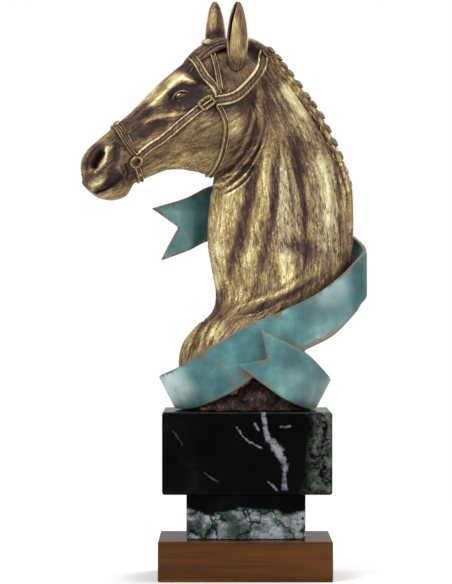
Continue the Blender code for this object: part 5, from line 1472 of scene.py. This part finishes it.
def gold_material(name, scratch=1.0, gloss=0.0):
    """Rubbed gold: wear and painted light, shifted by scratches along the hair, pick the colour."""
    material, tree, shader = new_material(name)
    wear_and_painted_light = add(tree, "Attribute", attribute_name="wear_and_painted_light")
    pale = add(tree, "Attribute", attribute_name="pale")
    grain = add(tree, "Attribute", attribute_name="grain")
    rubbed_and_painted_light = wear_and_painted_light.outputs["Fac"]
    combed = add(tree, "Attribute", attribute_name="combed")
    heights = []
    for size, strength in GOLD_LAYERS:
        place = add(tree, "Mapping", {"Vector": grain.outputs["Vector"], "Scale": along_hair(size)})
        layer = add(tree, "TexNoise", {"Vector": place, "Scale": 1.0, "Detail": 3.0,
                                       "Roughness": 0.6})
        shift = add(tree, "Math", {0: layer, 1: 0.5}, operation="SUBTRACT")
        amount = add(tree, "Math", {0: combed.outputs["Fac"], 1: strength * scratch}, operation="MULTIPLY")
        rubbed_and_painted_light = add(tree, "Math", {0: shift, 1: amount, 2: rubbed_and_painted_light},
                     operation="MULTIPLY_ADD")
        heights.append(layer)
    # Thin dark lines where a long noise crosses its middle: cuts of the comb that the cloth never reached.
    place = add(tree, "Mapping", {"Vector": grain.outputs["Vector"], "Scale": along_hair(COMB_MARK)})
    comb = add(tree, "TexNoise", {"Vector": place, "Scale": 1.0, "Detail": 2.0})
    away = away_from(tree, comb, 0.5)
    cut = add(tree, "MapRange", {"Value": away, "From Min": 0.0, "From Max": 0.03,
                                 "To Min": -COMB_CUT * scratch, "To Max": 0.0})
    rubbed_and_painted_light = add(tree, "Math", {0: cut, 1: combed.outputs["Fac"], 2: rubbed_and_painted_light},
                 operation="MULTIPLY_ADD")
    tone = add(tree, "ValToRGB", {"Fac": rubbed_and_painted_light}, stops=GOLD_STOPS)
    # A painted sheen: pale green-white laid over the brighter places where the sheen strokes lie.
    cover = add(tree, "MapRange", {"Value": rubbed_and_painted_light, "From Min": 0.35, "From Max": 0.85})
    sheen_share = add(tree, "Math", {0: cover, 1: pale.outputs["Fac"]}, operation="MULTIPLY",
               use_clamp=True)
    coat = add(tree, "Mix", {"Factor": sheen_share, "A": tone, "B": colour(SHEEN_COLOUR)},
               data_type="RGBA")
    metal = add(tree, "MapRange", {"Value": rubbed_and_painted_light, "From Min": 0.2, "From Max": 0.75, "To Min": 0.12,
                                   "To Max": 0.42})
    rough = add(tree, "MapRange", {"Value": rubbed_and_painted_light, "From Min": 0.2, "From Max": 0.8,
                                   "To Min": 0.55 - gloss, "To Max": 0.4 - gloss})
    relief = add(tree, "Math", {0: heights[3], 1: 0.3, 2: heights[2]}, operation="MULTIPLY_ADD")
    bump = add(tree, "Bump", {"Height": relief, "Strength": 0.4, "Distance": 0.0009})
    feed(tree, shader, {"Base Color": coat.outputs["Result"], "Metallic": metal, "Roughness": rough,
                        "Specular IOR Level": 0.3, "Normal": bump})
    return material


gold = gold_material("antique_gold_resin")
eye_gold = gold_material("dark_bronze_eye", scratch=0.2, gloss=0.32)
rock_gold = gold_material("rough_bronze_rock", scratch=1.2)
print("gold finishes:", gold.name, eye_gold.name, rock_gold.name)

# %% [markdown]
# ## Blue-green patina
#
# The banner is painted like copper that has weathered: a cloudy blue-green, satin, with a painted
# sheen in pale patches, and the brown ground coat showing through at its edges and in small chips. In
# closed-in places the ground coat shows more, as painted shade.

# %% Verdigris paint
PATINA_CLOUD, PATINA_CHIP = 23.81, 5.263  # in millimetres
PATINA_STOPS = [(0.28, "#25484C"), (0.42, "#305A5D"), (0.53, "#406D6E"), (0.64, "#578382"), (0.78, "#88AEA6")]
# The first is the pale of the painted sheen, the second the brown ground coat under the paint.
PATINA_SHEEN, GROUND_COAT = "#D5E6E0", "#665A4D"


def patina_material():
    """Painted sheen on cloudy paint; ground coat at edges and stains, and as painted shade where closed in."""
    material, tree, shader = new_material("verdigris_painted_resin")
    place = add(tree, "TexCoord")
    clouds = add(tree, "TexNoise", {"Vector": place.outputs["Object"], "Scale": per_metre(PATINA_CLOUD),
                                    "Detail": 4.0, "Roughness": 0.55})
    tone = add(tree, "ValToRGB", {"Fac": clouds}, stops=PATINA_STOPS)
    chips = add(tree, "TexNoise", {"Vector": place.outputs["Object"], "Scale": per_metre(PATINA_CHIP),
                                   "Detail": 5.0, "Roughness": 0.7})
    rim = add(tree, "Attribute", attribute_name="rim")
    shut_in_shade = add(tree, "Attribute", attribute_name="shut_in_shade")
    edge = add(tree, "MapRange", {"Value": rim.outputs["Fac"], "From Min": 0.35, "From Max": 1.5,
                                  "To Min": 0.26, "To Max": 0.0})
    # Painted shade where near things close the banner in, with wear at its edges and stains.
    dirt_and_painted_shade = add(tree, "Math", {0: shut_in_shade.outputs["Fac"], 1: 0.2, 2: edge}, operation="MULTIPLY_ADD")
    stain = add(tree, "Attribute", attribute_name="stain")
    dirt_and_painted_shade = add(tree, "Math", {0: dirt_and_painted_shade, 1: stain.outputs["Fac"]}, operation="ADD")
    pale = add(tree, "Attribute", attribute_name="pale")
    # A painted sheen: the pale colour laid over the clouds where the sheen strokes lie.
    sheen_clouds = add(tree, "Math", {0: clouds, 1: pale.outputs["Fac"]}, operation="MULTIPLY")
    tone = add(tree, "Mix", {"Factor": sheen_clouds, "A": tone, "B": colour(PATINA_SHEEN)},
               data_type="RGBA")
    wear = add(tree, "Math", {0: chips, 1: dirt_and_painted_shade}, operation="ADD")
    bare = add(tree, "MapRange", {"Value": wear, "From Min": 0.63, "From Max": 0.75})
    mixed = add(tree, "Mix", {"Factor": bare, "A": tone.outputs["Result"],
                              "B": colour(GROUND_COAT)}, data_type="RGBA")
    bump = add(tree, "Bump", {"Height": wear, "Strength": 0.25, "Distance": 0.0006})
    feed(tree, shader, {"Base Color": mixed.outputs["Result"], "Roughness": 0.34,
                        "Specular IOR Level": 0.45, "Normal": bump})
    return material


patina = patina_material()
print("banner finish:", patina.name)

# %% Set the bust on its block
FINISHES = {finish: (gold, "antique_gold") for finish in BASE}
FINISHES["eye"] = (eye_gold, "antique_gold")
FINISHES["rock"] = (rock_gold, "antique_gold")
FINISHES["banner"] = (patina, "verdigris_paint")
for name, (mesh, finish) in made_pieces.items():
    set_points(mesh, points_of(mesh) * UNIT + (0, 0, BUST_FLOOR))
    mesh.name = name
    mesh.shade_smooth()
    material, slot = FINISHES[finish]
    mesh.materials.clear()
    mesh.materials.append(material)
    piece = bpy.data.objects.new(name, mesh)
    bpy.context.scene.collection.objects.link(piece)
    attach(piece, "root")
    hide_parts("horse_bust")
triangles = [sum(len(p.vertices) - 2 for p in mesh.polygons) for mesh, _ in made_pieces.values()]
print("triangles:", sum(triangles), "largest piece:", max(triangles))

# %% [markdown]
# ## Black marble
#
# The blocks are sawn and polished black marble, shot through with white calcite. A vein in stone is a sheet,
# not a line, so it is made from the distance to a tilted plane bent by noise: it then shows on every face
# that it meets. Polished stone has a sharp reflection but a weak one.

# %% Veined marble
FRONT_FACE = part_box("top_block")[0].y
# Sizes of the stone's marks in millimetres.
VEIN_BEND, VEIN_GRAIN = 22.22, 4.167
DRIFT, CLOUD_EDGE, CLOUD_CURD = 26.32, 25.0, 5.882
LOW_CLOUD_EDGE, LOW_CLOUD_CURD, CRACK, CLOUD_HUE = 18.18, 7.692, 29.41, 13.33


def centred(tree, value, half):
    """A noise value moved to run from -half to half."""
    return add(tree, "MapRange", {"Value": value, "From Min": 0.25, "From Max": 0.75, "To Min": -half,
                                  "To Max": half})


def vein(tree, place, ends, lean, width, bend, seed):
    """A mask that is 1 within width of a sheet through two places (x, z) of the front, between the two."""
    (x0, z0), (x1, z1) = ends
    length = math.hypot(x1 - x0, z1 - z0)
    course = Vector((x1 - x0, 0, z1 - z0)) / length
    across = Vector((-course.z, lean, course.x)).normalized()
    start = Vector((x0, FRONT_FACE, z0))
    moved = add(tree, "Mapping", {"Vector": place, "Location": (seed, seed, seed)})
    warp = add(tree, "TexNoise", {"Vector": moved, "Scale": per_metre(VEIN_BEND), "Detail": 2.0,
                                  "Roughness": 0.5})
    height = add(tree, "VectorMath", {0: place, 1: across}, operation="DOT_PRODUCT")
    bent = centred(tree, warp, bend)
    away = add(tree, "Math", {0: height.outputs["Value"], 1: bent}, operation="ADD")
    away = away_from(tree, away, across.dot(start))
    girth = add(tree, "TexNoise", {"Vector": moved, "Scale": per_metre(VEIN_GRAIN), "Detail": 4.0,
                                   "Roughness": 0.7})
    reach = add(tree, "MapRange", {"Value": girth, "From Min": 0.35, "From Max": 0.65,
                                   "To Min": width * 0.45, "To Max": width * 1.3})
    near = add(tree, "Math", {0: away, 1: reach}, operation="DIVIDE")
    core = add(tree, "MapRange", {"Value": near, "From Min": 0.5, "From Max": 1.15, "To Min": 1.0,
                                  "To Max": 0.0})
    run = add(tree, "VectorMath", {0: place, 1: course}, operation="DOT_PRODUCT")
    halfway = course.dot(start) + length / 2
    off_middle = away_from(tree, run.outputs["Value"], halfway)
    inside = add(tree, "MapRange", {"Value": off_middle, "From Min": length * 0.42,
                                    "From Max": length * 0.56, "To Min": 1.0, "To Max": 0.0})
    solid = add(tree, "MapRange", {"Value": girth, "From Min": 0.42, "From Max": 0.58,
                                   "To Min": 0.22})
    mask = add(tree, "Math", {0: core, 1: inside}, operation="MULTIPLY")
    return add(tree, "Math", {0: mask, 1: solid}, operation="MULTIPLY")


def black_stone(tree, place):
    """Black limestone with faint grey drifts."""
    drift = add(tree, "TexNoise", {"Vector": place, "Scale": per_metre(DRIFT), "Detail": 7.0,
                                   "Roughness": 0.65})
    return add(tree, "ValToRGB", {"Fac": drift},
               stops=[(0.35, "#030303"), (0.55, "#070708"), (0.68, "#101112"), (0.8, "#1F2122")])


def polish(tree, shader, shown):
    """A polished face: a sharp reflection that stays weak, as black stone shows little of the room."""
    feed(tree, shader, {"Base Color": shown, "Roughness": 0.12, "Specular IOR Level": 0.04})


# Each vein: its two ends (x, z) on the front face, lean in depth, half width and bend in metres, and colour.
TOP_VEINS = [
    (((0.0105, 0.1070), (0.0145, 0.0880)), 0.30, 0.0017, 0.0016, "#7A7A81"),
    (((0.0140, 0.0900), (0.0262, 0.0700)), 0.35, 0.0025, 0.0030, "#7F7E88"),
    (((0.0262, 0.0740), (0.0250, 0.0580)), 0.20, 0.0016, 0.0020, "#6C6B7C"),
    (((-0.0055, 0.0975), (0.0015, 0.0880)), -0.5, 0.0007, 0.0014, "#6E6E74"),
    (((0.0010, 0.0885), (0.0105, 0.0845)), -0.4, 0.0006, 0.0014, "#6E6E74"),
    (((0.0055, 0.1000), (0.0085, 0.0950)), 0.4, 0.0008, 0.0010, "#66666B"),
    (((0.0215, 0.0975), (0.0285, 0.0980)), 0.7, 0.0007, 0.0010, "#5E5E64"),
    (((0.0135, 0.0630), (0.0205, 0.0570)), -0.6, 0.0007, 0.0012, "#7C7078"),
    (((-0.0260, 0.0685), (-0.0170, 0.0630)), 0.6, 0.0004, 0.0012, "#4A4A50"),
    (((-0.0450, 0.0950), (-0.0400, 0.0860)), 1.2, 0.0005, 0.0010, "#3E3E44"),
]


def over(tree, shown, mask, code):
    """The stone with a colour laid over it where the mask is 1."""
    laid = add(tree, "Mix", {"Factor": mask, "A": shown, "B": colour(code)}, data_type="RGBA")
    return laid.outputs["Result"]


def curds(tree, place, size, low, high):
    """Clotted flecks: 1 where a fine noise, itself stirred by a coarser one, stands above high."""
    stir = add(tree, "TexNoise", {"Vector": place, "Scale": per_metre(size) * 0.4, "Detail": 3.0})
    stirred = add(tree, "VectorMath", {0: stir.outputs["Color"], 1: (0.01, 0.01, 0.01), 2: place},
                  operation="MULTIPLY_ADD")
    curd = add(tree, "TexNoise", {"Vector": stirred, "Scale": per_metre(size), "Detail": 7.0,
                                  "Roughness": 0.75})
    return add(tree, "MapRange", {"Value": curd, "From Min": low, "From Max": high})


CLOUDED_END = (0.0375, 0.0445)  # between these places along X the black turns to clouds


def top_marble():
    """Black with white veins, clouded at one end."""
    material, tree, shader = new_material("polished_black_marble")
    place = add(tree, "TexCoord").outputs["Object"]
    shown = black_stone(tree, place)
    # At one end the stone turns a clouded grey-green.
    split = add(tree, "SeparateXYZ", {0: place})
    edge = add(tree, "TexNoise", {"Vector": place, "Scale": per_metre(CLOUD_EDGE), "Detail": 3.0})
    wander = centred(tree, edge, 0.006)
    reach = add(tree, "Math", {0: wander, 1: split.outputs["X"]}, operation="ADD")
    side = add(tree, "MapRange", {"Value": reach, "From Min": CLOUDED_END[0],
                                  "From Max": CLOUDED_END[1]})
    flecks = curds(tree, place, CLOUD_CURD, 0.43, 0.62)
    mask = add(tree, "Math", {0: side, 1: flecks}, operation="MULTIPLY")
    shown = over(tree, shown, mask, "#525851")
    for seed, (ends, lean, width, bend, code) in enumerate(TOP_VEINS):
        shown = over(tree, shown, vein(tree, place, ends, lean, width, bend, seed * 0.37), code)
    polish(tree, shader, shown)
    return material


CLOUD_LEVEL = 0.0432  # above this height the lower block is plain black


def neck_marble():
    """White and grey-green clouds below, cracked by black, under a plain black top."""
    material, tree, shader = new_material("polished_clouded_marble")
    place = add(tree, "TexCoord").outputs["Object"]
    split = add(tree, "SeparateXYZ", {0: place})
    rise = add(tree, "TexNoise", {"Vector": place, "Scale": per_metre(LOW_CLOUD_EDGE), "Detail": 3.0,
                                  "Roughness": 0.5})
    wander = centred(tree, rise, 0.004)
    level = add(tree, "Math", {0: wander, 1: split.outputs["Z"]}, operation="ADD")
    covered = add(tree, "MapRange", {"Value": level, "From Min": CLOUD_LEVEL + 0.001,
                                     "From Max": CLOUD_LEVEL - 0.001})
    flecks = curds(tree, place, LOW_CLOUD_CURD, 0.34, 0.52)
    mask = add(tree, "Math", {0: covered, 1: flecks}, operation="MULTIPLY")
    # Cracks run where a coarser stirred noise crosses its middle.
    crack = add(tree, "TexNoise", {"Vector": place, "Scale": per_metre(CRACK), "Detail": 4.0,
                                   "Roughness": 0.6})
    off_crack = away_from(tree, crack, 0.5)
    whole = add(tree, "MapRange", {"Value": off_crack, "From Min": 0.002, "From Max": 0.024})
    mask = add(tree, "Math", {0: mask, 1: whole}, operation="MULTIPLY")
    hue = add(tree, "TexNoise", {"Vector": place, "Scale": per_metre(CLOUD_HUE), "Detail": 5.0,
                                 "Roughness": 0.7})
    pale = add(tree, "ValToRGB", {"Fac": hue},
               stops=[(0.36, "#2E3936"), (0.46, "#4C5955"), (0.57, "#999FA3"), (0.68, "#575568")])
    shown = add(tree, "Mix", {"Factor": mask, "A": black_stone(tree, place), "B": pale},
                data_type="RGBA").outputs["Result"]
    polish(tree, shader, shown)
    return material


black_marble, clouded_marble = top_marble(), neck_marble()

# %% [markdown]
# ## Walnut
#
# The foot is a sawn, sanded and oiled board of walnut: red-brown, with the grain along its length. Grain is
# rings cut lengthways, so the noise of the rings is some twenty times longer along X than across, and that of
# the pores some thirty times.

# %% Oiled walnut
# Length, depth and height of a ring's marks and of a pore, in millimetres.
RING_MARK, PORE_MARK = (166.7, 7.692, 7.692), (22.22, 0.6667, 0.6667)


def walnut_material():
    """Rings in four browns, with pores that darken and dent them."""
    material, tree, shader = new_material("oiled_walnut")
    place = add(tree, "TexCoord").outputs["Object"]
    run = add(tree, "Mapping", {"Vector": place, "Scale": tuple(map(per_metre, RING_MARK))})
    rings = add(tree, "TexNoise", {"Vector": run, "Scale": 1.0, "Detail": 4.0, "Roughness": 0.6})
    pores = add(tree, "Mapping", {"Vector": place, "Scale": tuple(map(per_metre, PORE_MARK))})
    pore = add(tree, "TexNoise", {"Vector": pores, "Scale": 1.0, "Detail": 2.0})
    both = add(tree, "Math", {0: pore, 1: 0.35, 2: rings}, operation="MULTIPLY_ADD")
    tone = add(tree, "ValToRGB", {"Fac": both},
               stops=[(0.36, "#2F1502"), (0.55, "#3F2006"), (0.7, "#4C2A09"), (0.9, "#5C3610")])
    bump = add(tree, "Bump", {"Height": pore, "Strength": 0.2, "Distance": 0.0003})
    feed(tree, shader, {"Base Color": tone, "Roughness": 0.25, "Specular IOR Level": 0.16, "Normal": bump})
    return material


walnut = walnut_material()
for node_name, stone in (("top_block", black_marble), ("neck_block", clouded_marble), ("wood_foot", walnut)):
    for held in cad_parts[node_name].material_slots:
        held.material = stone
    print(node_name, "is", stone.name)

# %% [markdown]
# ## Floor, light and air
#
# A product picture is taken on white paper under large soft lamps. The floor is a pale disc that fades away
# before its edge could show. The air is white to the camera and dimmer as a lamp, or it would wash the gold.

# %% Pale floor
FLOOR_RADIUS = 0.9
floor_mesh = bpy.data.meshes.new("floor")
floor_work = bmesh.new()
bmesh.ops.create_circle(floor_work, cap_ends=True, radius=FLOOR_RADIUS, segments=96)
floor_work.to_mesh(floor_mesh)
floor_work.free()
floor = bpy.data.objects.new("floor", floor_mesh)
bpy.context.scene.collection.objects.link(floor)
paper, tree, shader = new_material("white_paper")
place = add(tree, "TexCoord").outputs["Object"]
radius = add(tree, "VectorMath", {0: place}, operation="LENGTH")
there = add(tree, "MapRange", {"Value": radius.outputs["Value"], "From Min": 0.25,
                               "From Max": FLOOR_RADIUS * 0.95, "To Min": 1.0, "To Max": 0.0},
            interpolation_type="SMOOTHSTEP")
feed(tree, shader, {"Base Color": colour("#F4F4F4"), "Roughness": 0.8, "Alpha": there})
floor_mesh.materials.append(paper)

# %% Lamps and air
def lamp(name, place, aim, size, watts):
    """A square soft lamp that faces the place it is aimed at."""
    light = bpy.data.lights.new(name, "AREA")
    light.size = size
    light.energy = watts
    holder = bpy.data.objects.new(name, light)
    holder.location = place
    holder.rotation_euler = (Vector(aim) - Vector(place)).to_track_quat("-Z", "Y").to_euler()
    bpy.context.scene.collection.objects.link(holder)


lamp("key", (-0.7, -0.9, 0.9), (0, 0, 0.2), 0.55, 13)
lamp("fill", (0.9, -0.8, 0.35), (0, 0, 0.18), 0.7, 6)
lamp("top", (0.1, 0.1, 1.2), (0, 0, 0.2), 0.5, 6)
lamp("back", (0.5, 0.9, 0.6), (0, 0, 0.2), 0.5, 5)

air = bpy.data.worlds.new("air")
bpy.context.scene.world = air
air.use_nodes = True
sky = air.node_tree
eye_ray = add(sky, "LightPath")
dim = add(sky, "MapRange", {"Value": eye_ray.outputs["Is Camera Ray"], "To Min": 0.45, "To Max": 1.0})
feed(sky, sky.nodes["Background"], {"Color": colour("#FFFFFF"), "Strength": dim})
bpy.context.scene.view_settings.view_transform = "Standard"
